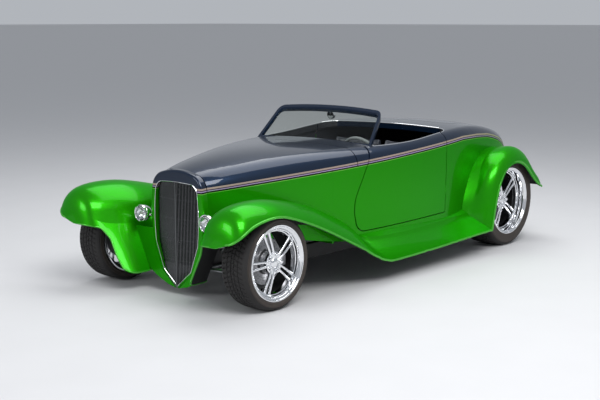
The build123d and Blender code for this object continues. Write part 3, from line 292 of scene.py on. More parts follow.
class Shape:
    """Gathers vertices and faces, with a material index per face, and makes one piece of them."""

    def __init__(self):
        self.points = []
        self.faces = []
        self.marks = []

    def add(self, points, faces, mark=0):
        start = len(self.points)
        self.points += [tuple(p) for p in points]
        self.faces += [tuple(i + start for i in f) for f in faces]
        self.marks += [mark] * len(faces)
        return self

    def grid(self, rows, mark=0, close_rows=False, close_columns=False):
        """Quads between equal rows of points."""
        n, m = len(rows), len(rows[0])
        faces = []
        for i in range(n if close_rows else n - 1):
            for j in range(m if close_columns else m - 1):
                a, b = i * m + j, i * m + (j + 1) % m
                c, d = ((i + 1) % n) * m + (j + 1) % m, ((i + 1) % n) * m + j
                faces.append((a, b, c, d))
        return self.add([p for row in rows for p in row], faces, mark)

    def ends(self, rows, mark=0):
        """Flat caps on the first and last row of a tube."""
        for row in (rows[0], rows[-1]):
            self.add(row, [tuple(range(len(row)))], mark)
        return self

    def tube(self, path, radius, mark=0, sides=10, closed=False, radii=None):
        rows = tube_rows(path, radius, sides, closed, radii)
        self.grid(rows, mark, close_rows=closed, close_columns=True)
        return self if closed else self.ends(rows, mark)

    def lathe(self, place, profile, segments, mark=0):
        """Profile of (along, radius) turned about an axis. place(along, radius, angle) gives the point."""
        rows = [[place(h, r, 2 * pi * i / segments) for h, r in profile] for i in range(segments)]
        return self.grid(rows, mark, close_rows=True)

    def box(self, low, high, bevel=0.0, mark=0):
        """Block with chamfered edges."""
        (x0, y0, z0), (x1, y1, z1) = low, high
        rows = []
        for inset, z in ((bevel, z0), (0.0, z0 + bevel), (0.0, z1 - bevel), (bevel, z1)):
            a, b, c, d, e = x0 + inset, x1 - inset, y0 + inset, y1 - inset, bevel
            rows.append([(a + e, c, z), (b - e, c, z), (b, c + e, z), (b, d - e, z),
                         (b - e, d, z), (a + e, d, z), (a, d - e, z), (a, c + e, z)])
        return self.grid(rows, mark, close_columns=True).ends(rows, mark)

    def make(self, name, materials, body, slot, sharp=35.0):
        mesh = bpy.data.meshes.new(name)
        mesh.from_pydata(self.points, [], self.faces)
        give(mesh, materials, self.marks)
        work = bmesh.new()
        work.from_mesh(mesh)
        bmesh.ops.remove_doubles(work, verts=work.verts, dist=WELD)
        bmesh.ops.recalc_face_normals(work, faces=work.faces)
        work.to_mesh(mesh)
        work.free()
        mesh.polygons.foreach_set("use_smooth", [True] * len(mesh.polygons))
        mesh.set_sharp_from_angle(angle=radians(sharp))
        piece = new_object(name, mesh)
        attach(piece, body)
        return piece


def tube_rows(path, radius, sides, closed=False, radii=None):
    """Rings of points along a path, kept from twisting."""
    path = [Vector(p) for p in path]
    n = len(path)
    side = None
    rows = []
    for i, p in enumerate(path):
        ahead = path[(i + 1) % n] if closed or i < n - 1 else p
        behind = path[i - 1] if closed or i > 0 else p
        along = (ahead - behind).normalized()
        if side is None:
            side = along.orthogonal().normalized()
        side = (side - along * side.dot(along)).normalized()
        up = along.cross(side)
        r = radii[i] if radii else radius
        turns = [2 * pi * k / sides for k in range(sides)]
        rows.append([p + (side * cos(t) + up * sin(t)) * r for t in turns])
    return rows


def smooth_path(points, rounds=2):
    """Corner cutting that keeps both ends."""
    for _ in range(rounds):
        cut = [points[0]]
        for a, b in zip(points, points[1:]):
            cut += [a.lerp(b, 0.25), a.lerp(b, 0.75)]
        points = cut + [points[-1]]
    return points


def resample(points, step):
    """Points at even spacing along a path."""
    lengths = [0.0]
    for a, b in zip(points, points[1:]):
        lengths.append(lengths[-1] + (b - a).length)
    count = max(2, ceil(lengths[-1] / step))
    out, j = [], 0
    for i in range(count + 1):
        d = lengths[-1] * i / count
        while j < len(points) - 2 and lengths[j + 1] < d:
            j += 1
        span = lengths[j + 1] - lengths[j]
        out.append(points[j].lerp(points[j + 1], 0 if span == 0 else min(1.0, (d - lengths[j]) / span)))
    return out


def edge_path(node, stops):
    """Shortest way along a CAD node's sharp edges from one stop to the next."""
    work = bmesh.new()
    work.from_mesh(nodes[node].data)
    bmesh.ops.remove_doubles(work, verts=work.verts, dist=CAD_WELD)
    links = {}
    for e in work.edges:
        if len(e.link_faces) != 2 or e.calc_face_angle(0.0) > SHARP_EDGE:
            a, b = e.verts
            links.setdefault(a.index, []).append((b.index, e.calc_length()))
            links.setdefault(b.index, []).append((a.index, e.calc_length()))
    work.verts.ensure_lookup_table()
    at = {i: work.verts[i].co.copy() for i in links}
    near = [min(at, key=lambda i: (at[i] - Vector(s)).length) for s in stops]
    path = [near[0]]
    for start, goal in zip(near, near[1:]):
        best, came, queue = {start: 0.0}, {}, [(0.0, start)]
        while queue:
            d, i = heapq.heappop(queue)
            if i == goal:
                break
            if d > best[i]:
                continue
            for k, length in links[i]:
                if d + length < best.get(k, 1e9):
                    best[k], came[k] = d + length, i
                    heapq.heappush(queue, (d + length, k))
        leg = [goal]
        while leg[-1] != start:
            leg.append(came[leg[-1]])
        path += leg[::-1][1:]
    points = [at[i] for i in path]
    work.free()
    return points


def flip(points):
    return [Vector((p[0], -p[1], p[2])) for p in points]


def body_tree(names):
    """Ray target made of several CAD nodes."""
    points, faces = [], []
    for n in names:
        mesh = nodes[n].data
        start = len(points)
        points += [v.co.copy() for v in mesh.vertices]
        faces += [[i + start for i in p.vertices] for p in mesh.polygons]
    return BVHTree.FromPolygons(points, faces)


# Finishes of the CAD nodes

def two_finishes(node, first, second, picks):
    """The second finish goes on the faces that the test picks."""
    mesh = nodes[node].data
    give(mesh, (first, second), [int(picks(p)) for p in mesh.polygons])


PLAIN = {
    "grille_insert": bar_metal, "chassis_frame": black_metal, "front_suspension": satin,
    "knuckle_left": steel, "knuckle_right": steel, "rear_axle": black_metal,
    "engine_block": iron, "radiator": black_metal, "exhaust": satin, "fuel_tank": steel,
    "windshield_frame": dark_paint, "windshield_glass": pane, "mirror": chrome, "dashboard": leather,
    "seat_cushion": leather, "seat_back": leather, "steering_column": satin,
    "headlamps": chrome, "headlamp_lenses": lens, "tail_lamps": red_lens,
}
for end in ("front", "rear"):
    for hand, _ in HANDS:
        PLAIN |= {f"tyre_{end}_{hand}": sidewall, f"rim_{end}_{hand}": chrome}
for name, m in PLAIN.items():
    give(nodes[name].data, [m])

# The wheel's side of each fender is black: the faces that look towards a point in its well.
WELL_X = {"front_fender": (1.262, 1.762), "rear_fender": (-1.350, -1.200)}
WELL_Y = 0.61
WELL_Z = 0.33
TAIL_X = -1.250
TAIL_LOW_Z = -0.1
BELOW_Z = -0.3


def well_point(part, side, x, y):
    low, high = WELL_X[part]
    near_wheel = x >= low if part == "front_fender" else x <= high
    if near_wheel:
        return Vector((min(max(x, low), high), side * WELL_Y, WELL_Z))
    if part == "rear_fender":
        return Vector((TAIL_X, side * WELL_Y, TAIL_LOW_Z))
    return Vector((x, side * y, BELOW_Z))


for part in WELL_X:
    for hand, side in HANDS:
        two_finishes(f"{part}_{hand}", green, well_and_underside_black, lambda p: p.normal.dot(
            p.center - well_point(part, side, p.center.x, p.center.y)) < 0)

DOWN = -0.3
REARWARD = -0.5
two_finishes("running_boards", green, well_and_underside_black, lambda p: p.normal.z < DOWN)
two_finishes("floor_pan", carpet, well_and_underside_black, lambda p: p.normal.z < DOWN)
two_finishes("nose_aprons", green, well_and_underside_black, lambda p: p.normal.z < DOWN or p.normal.x < REARWARD)

# Faces that look across the inside of the body are trimmed, not painted.
COCKPIT_X = (-0.72, 0.55)
COCKPIT_LEAN = 0.3
OFF_SKIN = 0.001
SHEET = 0.03
ACROSS = 1.7
BODY_NODES = ("hood", "hood_sides", "cowl", "rear_body", "door_left", "door_right", "trunk_lid",
              "grille_shell")
outside = body_tree(BODY_NODES + ("floor_pan",))


def looks_inward(name, p):
    x, y, z = p.center
    hit = outside.ray_cast(p.center + p.normal * OFF_SKIN, p.normal, ACROSS)
    in_cockpit = COCKPIT_X[0] < x < COCKPIT_X[1] and p.normal.y * y < -COCKPIT_LEAN * abs(y)
    faces_body = hit[0] is not None and name != "grille_shell" and hit[3] > SHEET
    return faces_body or (in_cockpit and name != "trunk_lid")


for name in BODY_NODES:
    two_finishes(name, body_paint, trim, lambda p: looks_inward(name, p))


# Wheels: tyre with a cut tread, polished barrel with painted shade inside, paired spokes, hub, nuts and disc
# with painted-shade holes

BLOCKS = 58
STEPS_PER_BLOCK = 8
CUT_STEPS = 2
GROOVE_DEPTH = 0.0080
CUT_SHARE = 0.8
TREAD_INSET = 0.034
TREAD_FALL = 0.004
# Edges of the ribs and of the grooves between them, as shares of half the tread
RIBS = [-1.0, -0.60, -0.52, -0.20, -0.12, 0.12, 0.20, 0.52, 0.60, 1.0]
GROOVE_LIP = 0.0015
BEAD_DROP = 0.017
FACE_INSET = {"front": 0.040, "rear": 0.080}
HUB_SHELL = 0.062
LIP_STEPS = 14
INNER_STEPS = 17
SPOKE_PAIRS = 5
SPOKE_ROOT_R = 0.036
SPOKE_START = 0.0125
SPOKE_SPLAY = 0.062
SPOKE_ROUND = 0.8
SPOKE_SIDES = 16
NUT_CIRCLE_R = 0.055
DISC_R = 0.150
DISC_T = 0.012
DISC_SET_BACK = 0.020
DISC_HOLES = 30
DISC_HOLE_R = 0.0033
# Radius and turn of each ring of holes
HOLE_RINGS = ((0.104, 0.0), (0.122, 0.07), (0.139, 0.14))
NUT_FLATS = 0.04
NUT_ROUND_R = 0.006


def wheel_place(centre, side):
    def place(h, r, angle):
        return (centre.x + r * cos(angle), centre.y + side * h, centre.z + r * sin(angle))
    return place


def beside(place, ring_r, turn, flats=0.0):
    """Lathe axis moved aside, for a hole or a six-sided nut."""
    spot = Vector(place(0, ring_r, turn)) - Vector(place(0, 0, 0))

    def moved(h, r, angle):
        flat = 1 - flats * cos(6 * angle) if r > NUT_ROUND_R else 1
        return Vector(place(h, r * flat, angle)) + spot
    return moved


def tyre_shape(place, half, r, rim_r):
    """Tread ribs with slanting cross grooves, shoulders, and a sidewall with fine rings."""
    tread_half = half - TREAD_INSET
    count = BLOCKS * STEPS_PER_BLOCK
    across = []
    for k in range(len(RIBS) - 1):
        a, b = RIBS[k] * tread_half, RIBS[k + 1] * tread_half
        if k % 2 == 1:
            across += [(a + GROOVE_LIP, True), (b - GROOVE_LIP, True)]
        else:
            across += [(a, False), ((a + b) / 2, False), (b, False)]
    shape = Shape()
    rows = []
    for i in range(count):
        angle = 2 * pi * i / count
        row = []
        for h, grooved in across:
            slant = round(abs(h) / tread_half * STEPS_PER_BLOCK * 0.9) + (3 if h < 0 else 0)
            cut = (i + slant) % STEPS_PER_BLOCK < CUT_STEPS
            fall = TREAD_FALL * (abs(h) / tread_half) ** 4
            depth = GROOVE_DEPTH if grooved else (GROOVE_DEPTH * CUT_SHARE if cut else 0.0)
            row.append(place(h, r - fall - depth, angle))
        rows.append(row)
    shape.grid(rows, 0, close_rows=True)
    shoulder = [(tread_half, r - TREAD_FALL), (half - 0.024, r - 0.007), (half - 0.014, r - 0.013),
                (half - 0.008, r - 0.021), (half - 0.0075, r - 0.0235), (half - 0.0058, r - 0.0245)]
    wall = [(half - 0.0040, r - 0.030), (half - 0.0018, r - 0.036), (half - 0.0022, r - 0.0372),
            (half - 0.0010, (r + rim_r) / 2), (half - 0.0022, rim_r + 0.016), (half - 0.0010, rim_r + 0.0145),
            (half - 0.0010, rim_r + 0.010), (half - 0.0045, rim_r + 0.004), (half - 0.0100, rim_r + 0.0005),
            (half - 0.0118, rim_r + 0.0003)]
    for sign in (1, -1):
        shape.lathe(place, [(sign * h, q) for h, q in shoulder], count // 2, 0)
        shape.lathe(place, [(sign * h, q) for h, q in shoulder[-1:] + wall], count // 2, 1)
    bore = [(half - 0.0118, rim_r + 0.0003), (half - 0.0118, rim_r - BEAD_DROP + 0.0008)]
    shape.lathe(place, bore + [(-h, q) for h, q in bore[::-1]], 96, 1)
    return shape


def rim_shape(place, half, rim_r, inset, disc_h, back_h):
    """Stepped lip, barrel painted dark inside as painted shade, paired spokes, hub, nuts and disc with
    painted-shade spots for holes. Marks: 0 polished, 1 steel, 2 dark, painted shade.
    """
    seat = rim_r - BEAD_DROP
    face = half - inset
    shape = Shape()
    barrel = [(half - 0.0125, seat), (half - 0.0122, rim_r - 0.0006), (half - 0.0060, rim_r - 0.0002),
              (half - 0.0042, rim_r - 0.0020), (half - 0.0040, rim_r - 0.0060),
              (half - 0.0058, rim_r - 0.0095), (half - 0.0100, rim_r - 0.0120),
              (half - 0.0120, seat - 0.0055), (half - 0.0160, seat - 0.0090),
              (face + 0.0200, seat - 0.0120), (face + 0.0150, seat - 0.0130),
              (face + 0.0130, seat - 0.0185), (face + 0.0020, seat - 0.0215), (face - 0.0010, seat - 0.0275),
              (face - 0.0330, seat - 0.0295), (face - 0.0380, seat - 0.0250),
              (-half + 0.0420, seat - 0.0250), (-half + 0.0260, seat - 0.0080),
              (-half + 0.0100, seat - 0.0080), (-half + 0.0042, rim_r - 0.0080),
              (-half + 0.0042, rim_r - 0.0006), (-half + 0.0122, rim_r - 0.0006), (-half + 0.0125, seat)]
    shape.lathe(place, barrel[:LIP_STEPS + 1], 128, 0)
    # The barrel's inside behind the spokes is painted dark: painted shade.
    shape.lathe(place, barrel[LIP_STEPS:INNER_STEPS + 1], 128, 2)
    shape.lathe(place, barrel[INNER_STEPS:] + barrel[:1], 128, 0)
    end_r = seat - 0.022
    # Radius, width, depth and lift of each section along a spoke
    sections = [(SPOKE_ROOT_R, 0.0190, 0.0300, 0.0030), (0.060, 0.0190, 0.0290, 0.0060),
                (0.100, 0.0185, 0.0250, 0.0070), (end_r * 0.70, 0.0185, 0.0230, 0.0040),
                (end_r * 0.88, 0.0205, 0.0250, 0.0000), (end_r, 0.0260, 0.0300, -0.0010)]
    for k in range(SPOKE_PAIRS):
        for s in (-1, 1):
            angle = 2 * pi * k / SPOKE_PAIRS
            rows = []
            for r, w, d, lift in sections:
                ring = []
                for q in range(SPOKE_SIDES):
                    t = 2 * pi * q / SPOKE_SIDES
                    cx = copysign(abs(cos(t)) ** SPOKE_ROUND, cos(t)) * w / 2
                    cx += s * (SPOKE_START + SPOKE_SPLAY * (r - SPOKE_ROOT_R))
                    ch = copysign(abs(sin(t)) ** SPOKE_ROUND, sin(t)) * d / 2
                    ring.append(place(face - 0.013 + lift + ch, hypot(r, cx), angle + atan2(cx, r)))
                rows.append(ring)
            shape.grid(rows, 0, close_columns=True).ends(rows, 0)
    hub = [(face + 0.0140, 0.0), (face + 0.0136, 0.010), (face + 0.0120, 0.020), (face + 0.0090, 0.028),
           (face + 0.0040, 0.0325), (face + 0.0010, 0.0335), (face + 0.0010, 0.0380), (face + 0.0030, 0.0410),
           (face + 0.0030, 0.0660), (face + 0.0005, 0.0730), (face - 0.0060, 0.0755), (face - 0.0250, 0.0755),
           (back_h, 0.062), (disc_h + 0.030, 0.060), (disc_h + 0.006, 0.060)]
    shape.lathe(place, hub, 80, 0)
    front = disc_h + DISC_T / 2
    disc = [(disc_h - DISC_T / 2, 0.045), (disc_h - DISC_T / 2, DISC_R), (front, DISC_R), (front, 0.085),
            (front + 0.004, 0.080), (front + 0.022, 0.076), (front + 0.024, 0.058)]
    shape.lathe(place, disc, 96, 1)
    nut = [(face + 0.0030, 0.0105), (face + 0.0170, 0.0105), (face + 0.0190, 0.0090),
           (face + 0.0200, 0.0040), (face + 0.0202, 0.0)]
    for k in range(SPOKE_PAIRS):
        shape.lathe(beside(place, NUT_CIRCLE_R, 2 * pi * (k + 0.5) / SPOKE_PAIRS, NUT_FLATS), nut, 24, 0)
    # Dark spots on the disc stand in for its drilled holes: painted shade.
    hole = [(front + 0.0003, 0.0), (front + 0.0003, DISC_HOLE_R)]
    for k in range(DISC_HOLES):
        for ring_r, turn in HOLE_RINGS:
            shape.lathe(beside(place, ring_r, 2 * pi * k / DISC_HOLES + turn), hole, 8, 2)
    return shape


for end, inset in FACE_INSET.items():
    for hand, side in HANDS:
        tyre_node, rim_node = f"tyre_{end}_{hand}", f"rim_{end}_{hand}"
        tyre_low, tyre_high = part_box(tyre_node)
        rim_low, rim_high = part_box(rim_node)
        half = (tyre_high.y - tyre_low.y) / 2
        rim_r = (rim_high.z - rim_low.z) / 2
        place = wheel_place((tyre_low + tyre_high) / 2, side)
        back_h = half - inset - HUB_SHELL
        body = f"wheel_{end}_{hand}"
        tyre = tyre_shape(place, half, (tyre_high.z - tyre_low.z) / 2, rim_r).make(
            f"{tyre_node}_skin", [tread, sidewall], body, "tyre", 30)
        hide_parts(tyre_node)
        rim = rim_shape(place, half, rim_r, inset, back_h - DISC_SET_BACK, back_h).make(
            f"{rim_node}_skin", [chrome, steel, black_metal], body, "chrome", 40)
        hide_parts(rim_node)


# Beads and edges

BEAD_R = 0.0080
BEAD_PROUD = 0.0055
BEAD_REACH = 0.015
BEAD_STEP = 0.015
OUTSIDE = Vector((0, 0.012, 0))
BEAD_LIMIT_X = 1.9485
BEAD_LIMIT_Y = 0.8720
SKIRT_BEAD_R = 0.0065
MOUTH_BEAD_R = 0.0028
COCKPIT_BEAD_R = 0.0042


def bead_route(node, stops, rounds=1):
    """Line of the rolled bead on the outer skin, a little way in from a part's lip."""
    skin = body_tree([node])
    path = resample(smooth_path(edge_path(node, stops), rounds), BEAD_STEP)
    route = []
    for i, p in enumerate(path):
        along = (path[min(i + 1, len(path) - 1)] - path[max(i - 1, 0)]).normalized()
        up = along.cross(Vector((0, 1, 0))).normalized()
        if up.z < 0:
            up = -up
        spot, normal, _, _ = skin.find_nearest(p + up * BEAD_REACH + OUTSIDE)
        if normal.y < 0:
            normal = -normal
        centre = spot - normal * (BEAD_R - BEAD_PROUD)
        centre.x = min(centre.x, BEAD_LIMIT_X - BEAD_R)
        centre.y = min(centre.y, BEAD_LIMIT_Y - BEAD_R)
        route.append(centre)
    return resample(smooth_path(route, 1), BEAD_STEP)


# Beads take the lighter green, a painted highlight.
def green_bead(name, routes, radius):
    shape = Shape()
    for route in routes:
        shape.tube(route, radius, sides=12)
    shape.make(name, [bead_highlight_paint], "chassis", "paint_green")


def bead_pair(part, route, radius):
    green_bead(f"{part}_left_bead", [route], radius)
    green_bead(f"{part}_right_bead", [flip(route)], radius)


LIP_STOPS = {
    "front_fender": [(1.949, 0.752, 0.478), (1.600, 0.870, 0.611), (0.875, 0.870, 0.352),
                     (0.360, 0.870, 0.155)],
    "rear_fender": [(-0.930, 0.870, 0.188), (-1.064, 0.870, 0.571), (-1.249, 0.870, 0.684),
                    (-1.815, 0.800, 0.436)],
}
for part, stops in LIP_STOPS.items():
    bead_pair(part, bead_route(f"{part}_left", stops), BEAD_R)

# Inner edge of the front fender, from its nose down to the apron, shifted to where it shows
SKIRT_STOPS = [(1.949, 0.752, 0.478), (1.949, 0.6319, 0.4517), (1.870, 0.4807, 0.430), (1.832, 0.4275, 0.355),
               (1.831, 0.3671, 0.240), (1.8191, 0.3208, 0.1646), (1.7627, 0.2784, 0.1306),
               (1.620, 0.2623, 0.1336)]
SKIRT_SHIFT = (-0.0045, 0.0045, 0.002)
SKIRT_INNER_Y = 0.70
skirt = []
for p in resample(edge_path("front_fender_left", SKIRT_STOPS), 0.02):
    dx, dy, dz = SKIRT_SHIFT
    skirt.append(p + Vector((dx, dy if p.y < SKIRT_INNER_Y else 0.0, dz)))
skirt = resample(smooth_path(skirt, 2), 0.012)
skirt = [Vector((min(p.x, BEAD_LIMIT_X - SKIRT_BEAD_R), p.y, p.z)) for p in skirt]
bead_pair("front_skirt", skirt, SKIRT_BEAD_R)
board_lip = bead_route("running_boards", [(0.360, 0.870, 0.155), (-0.930, 0.870, 0.188)])
green_bead("running_board_beads", [board_lip, flip(board_lip)], BEAD_R)

mouth = edge_path("grille_shell", [(1.625, 0.0, 0.060), (1.625, 0.207, 0.600), (1.625, 0.0, 0.762)])
mouth = resample([p + Vector((0.001, 0, 0)) for p in mouth], 0.012)
Shape().tube(mouth, MOUTH_BEAD_R, sides=8).tube(flip(mouth), MOUTH_BEAD_R, sides=8).make(
    "grille_mouth_bead", [chrome], "chassis", "chrome")


def cockpit_bead(name, body, node, stops):
    run = resample(edge_path(node, stops), BEAD_STEP)
    Shape().tube(run, COCKPIT_BEAD_R, sides=8).make(name, [chrome], body, "chrome")


for hand, side in HANDS:
    cockpit_bead(f"door_{hand}_bead", f"door_{hand}", f"door_{hand}", [
        (0.205, side * 0.548, 0.935), (-0.172, side * 0.606, 0.955), (-0.552, side * 0.609, 0.985)])
cockpit_bead("cockpit_rear_bead", "chassis", "rear_body", [
    (-0.565, 0.608, 0.985), (-0.662, 0.570, 0.995), (-0.700, 0.300, 1.010), (-0.700, 0.0, 1.020),
    (-0.700, -0.300, 1.010), (-0.662, -0.570, 0.995), (-0.565, -0.608, 0.985)])


# Headlamps and tail lamps

def lengthwise(x, y, z, ahead=1):
    """Lathe axis along the car, forward, or rearward with -1."""
    def place(h, r, angle):
        return (x + ahead * h, y + r * cos(angle), z + r * sin(angle))
    return place


LAMP_X = 1.668
LAMP_Y = 0.312
LAMP_Z = 0.524
STALK_BACK = 0.064
STALK_DROP = 0.014
BOWL = [(-0.0200, 0.0), (-0.0200, 0.0120), (-0.0240, 0.0185), (-0.0210, 0.0290), (-0.0130, 0.0400),
        (-0.0040, 0.0485), (0.0, 0.0508), (0.0014, 0.0520), (0.0020, 0.0540), (0.0014, 0.0562), (0.0, 0.0574),
        (-0.0035, 0.0580), (-0.0150, 0.0580), (-0.0165, 0.0570), (-0.0180, 0.0578), (-0.0330, 0.0560),
        (-0.0500, 0.0510), (-0.0660, 0.0435), (-0.0800, 0.0320), (-0.0890, 0.0190), (-0.0935, 0.0080),
        (-0.0940, 0.0)]
DISH_STEPS = 6
BULB = [(-0.0200, 0.0075), (-0.0150, 0.0095), (-0.0100, 0.0105), (-0.0060, 0.0100), (-0.0030, 0.0080),
        (-0.0018, 0.0)]
GLASS_R = 0.0505
GLASS_DOME = 0.0018
FLUTES = 24
GLASS_SIDES = 96


def stalk(side, reach):
    return [(LAMP_X - STALK_BACK, side * y, LAMP_Z - STALK_DROP) for y in reach]


bowls, glasses = Shape(), Shape()
for side in (1, -1):
    place = lengthwise(LAMP_X, side * LAMP_Y, LAMP_Z)
    bowls.lathe(place, BOWL[DISH_STEPS:], 64, 0)
    bowls.lathe(place, BOWL[:DISH_STEPS + 1], 24, 1)
    bowls.tube(stalk(side, (LAMP_Y, 0.290, 0.268, 0.252)), 0.009, 0, 16)
    bowls.tube(stalk(side, (0.2550, 0.2520)), 0.015, 0, 20)
    bowls.lathe(place, BULB, 24, 2)
    bowls.lathe(place, [(-0.0030, 0.0), (-0.0020, 0.0090), (-0.0024, 0.0130), (-0.0034, 0.0135)], 24, 0)
    for k in range(3):
        angle = pi / 2 + 2 * pi * k / 3
        a, b = place(-0.0030, 0.0120, angle), place(-0.0030, 0.0500, angle)
        bowls.tube([a, b], 0.0011, 0, 8)
    rings = []
    for r in (GLASS_R, 0.0440, 0.0350, 0.0260, 0.0170, 0.0080):
        dome = GLASS_DOME * (1 - (r / GLASS_R) ** 2)
        turns = [2 * pi * q / GLASS_SIDES for q in range(GLASS_SIDES)]
        rings.append([place(-0.0008 + dome + 0.0005 * cos(FLUTES * a) * (r / GLASS_R), r, a) for a in turns])
    glasses.grid(rings, 0, close_columns=True)
    glasses.add(rings[-1], [tuple(range(GLASS_SIDES))], 0)
lamp_skin = bowls.make("headlamps_skin", [chrome, reflector, bulb_glow], "chassis", "chrome", 28)
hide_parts("headlamps")
glass_skin = glasses.make("headlamp_glass_skin", [lens], "chassis", "glass", 40)
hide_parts("headlamp_lenses")

TAIL_Y = 0.300
TAIL_Z = 0.600
tail_low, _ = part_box("tail_lamps")
tail = Shape()
for side in (1, -1):
    place = lengthwise(tail_low.x, side * TAIL_Y, TAIL_Z)
    tail.lathe(place, [(0.0022, 0.0), (0.0014, 0.0080), (0.0008, 0.0160), (0.0022, 0.0225),
                       (0.0030, 0.0236)], 48, 0)
    tail.lathe(place, [(0.0030, 0.0236), (0.0004, 0.0246), (0.0000, 0.0265), (0.0010, 0.0288),
                       (0.0040, 0.0300), (0.0160, 0.0300), (0.0300, 0.0290), (0.0800, 0.0280)], 48, 1)
    for ring_r in (0.0070, 0.0130, 0.0190):
        tail.lathe(place, [(0.0014, ring_r - 0.0007), (0.0006, ring_r), (0.0014, ring_r + 0.0007)], 48, 0)
tail_skin = tail.make("tail_lamps_skin", [red_lens, chrome], "chassis", "lamp_red", 30)
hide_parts("tail_lamps")


# Cockpit: instruments, steering wheel, pedals, lever

DASH_X = 0.172
GAUGES = [(0.350, 0.838, 0.0290), (0.276, 0.838, 0.0290), (0.206, 0.838, 0.0200), (0.156, 0.838, 0.0200),
          (0.420, 0.838, 0.0200)]
gauges = Shape()
for y, z, r in GAUGES:
    place = lengthwise(DASH_X, y, z, -1)
    gauges.lathe(place, [(0.0002, 0.0), (0.0002, r * 0.90)], 48, 1)
    gauges.lathe(place, [(0.0002, r * 0.90), (0.0040, r * 0.92), (0.0052, r * 0.96), (0.0040, r),
                         (0.0, r * 1.01)], 48, 0)
    count = 11 if r > 0.025 else 7
    for k in range(count):
        angle = radians(225 - 270 * k / (count - 1))
        a, b = place(0.0007, r * 0.68, angle), place(0.0007, r * 0.84, angle)
        gauges.tube([a, b], 0.0006, 2, 6)
    gauges.tube([place(0.0014, -r * 0.15, radians(200)), place(0.0014, r * 0.66, radians(200))], 0.0008, 3, 6)
    gauges.lathe(place, [(0.0024, 0.0), (0.0022, r * 0.08), (0.0010, r * 0.10)], 20, 0)
gauges.make("gauges", [chrome, dial, ivory, needle], "chassis", "chrome", 30)

WHEEL_CENTRE = Vector((0.074, 0.350, 0.807))
TILT = radians(25)
WHEEL_AXIS = Vector((cos(TILT), 0, -sin(TILT)))
WHEEL_SIDE = Vector((0, 1, 0))
WHEEL_UP = Vector((sin(TILT), 0, cos(TILT)))


def wheel_point(h, r, angle):
    return WHEEL_CENTRE + WHEEL_AXIS * h + (WHEEL_SIDE * cos(angle) + WHEEL_UP * sin(angle)) * r


RIM_INNER_R = 0.155
STITCHES = 48


def within_rim(p):
    out = p.center - WHEEL_CENTRE
    return (out - WHEEL_AXIS * out.dot(WHEEL_AXIS)).length <= RIM_INNER_R


two_finishes("steering_wheel", grip, satin, within_rim)
wheel_trim = Shape()
for k in range(STITCHES):
    angle = 2 * pi * k / STITCHES
    wheel_trim.tube([wheel_point(-0.0085, 0.1750, angle), wheel_point(-0.0085, 0.1650, angle)], 0.0012, 0, 6)
hub = [(-0.0160, 0.0), (-0.0155, 0.0120), (-0.0140, 0.0200), (-0.0122, 0.0250), (-0.0122, 0.0300),
       (-0.0105, 0.0325), (0.0, 0.0325)]
wheel_trim.lathe(wheel_point, hub, 48, 0)
for k in range(6):
    angle = 2 * pi * (k + 0.5) / 6
    a, b = wheel_point(-0.0122, 0.0275, angle), wheel_point(-0.0142, 0.0275, angle)
    wheel_trim.tube([a, b], 0.0022, 1, 8)
for angle in (0, pi, -pi / 2):
    for r in (0.060, 0.086, 0.112, 0.136):
        size = 0.0068 - (r - 0.060) * 0.02
        a, b = wheel_point(-0.0012, r, angle), wheel_point(0.0002, r, angle)
        wheel_trim.tube([a, b], size, 1, 16)
wheel_trim.make("steering_wheel_trim", [chrome, black_metal], "steering_wheel", "chrome", 30)

PEDAL_X = 0.520
PEDAL_T = 0.008
PEDAL_Z = 0.400
HINGE_X = 0.598
# Middle, width, height and raise of the throttle and the brake
PEDALS = ((0.405, 0.045, 0.110, 0.0), (0.300, 0.090, 0.060, 0.020))
PAD_RIBS = 4
pedals = Shape()
for y, width, height, lift in PEDALS:
    z = PEDAL_Z + lift
    pedals.box((PEDAL_X, y - width / 2, z - height / 2),
               (PEDAL_X + PEDAL_T, y + width / 2, z + height / 2), 0.004, 0)
    for k in range(PAD_RIBS):
        rib_z = z + height * (k - 1.5) / 5
        pedals.box((PEDAL_X - 0.003, y - width * 0.40, rib_z - 0.004),
                   (PEDAL_X + 0.001, y + width * 0.40, rib_z + 0.004), 0.0012, 1)
    arm = [(PEDAL_X + 0.006, y, z), (PEDAL_X + 0.030, y, z + 0.060), (HINGE_X, y, z + 0.150)]
    pedals.tube(arm, 0.007, 0, 12)
pedals.make("pedals", [satin, rubber], "chassis", "steel", 30)

LEVER = [(0.100, 0.0, 0.430), (0.098, 0.0, 0.470), (0.090, 0.0, 0.540), (0.070, 0.0, 0.600),
         (0.062, 0.0, 0.622)]
KNOB = [(-0.0220, 0.0), (-0.0215, 0.0080), (-0.0150, 0.0175), (-0.0050, 0.0225), (0.0060, 0.0220),
        (0.0150, 0.0165), (0.0205, 0.0080), (0.0215, 0.0)]
BOOT = [(0.100, 0.0, 0.4305), (0.100, 0.0, 0.440), (0.099, 0.0, 0.450), (0.099, 0.0, 0.462),
        (0.098, 0.0, 0.474)]
BOOT_R = [0.046, 0.040, 0.026, 0.015, 0.009]
BOOT_RING = [(0.0, 0.054), (0.0035, 0.053), (0.0045, 0.050), (0.0035, 0.046), (0.0, 0.045)]


def upright_place(x, y, z):
    """Lathe axis that points up."""
    def place(h, r, angle):
        return (x + r * cos(angle), y + r * sin(angle), z + h)
    return place


lever = Shape()
lever.tube(LEVER, 0.0055, 0, 12)
lever.lathe(upright_place(0.060, 0.0, 0.640), KNOB, 32, 0)
lever.tube(BOOT, BOOT_R[0], 1, 20, radii=BOOT_R)
lever.lathe(upright_place(0.100, 0.0, 0.430), BOOT_RING, 40, 0)
lever.make("shift_lever", [chrome, leather], "chassis", "chrome", 30)


# Seats

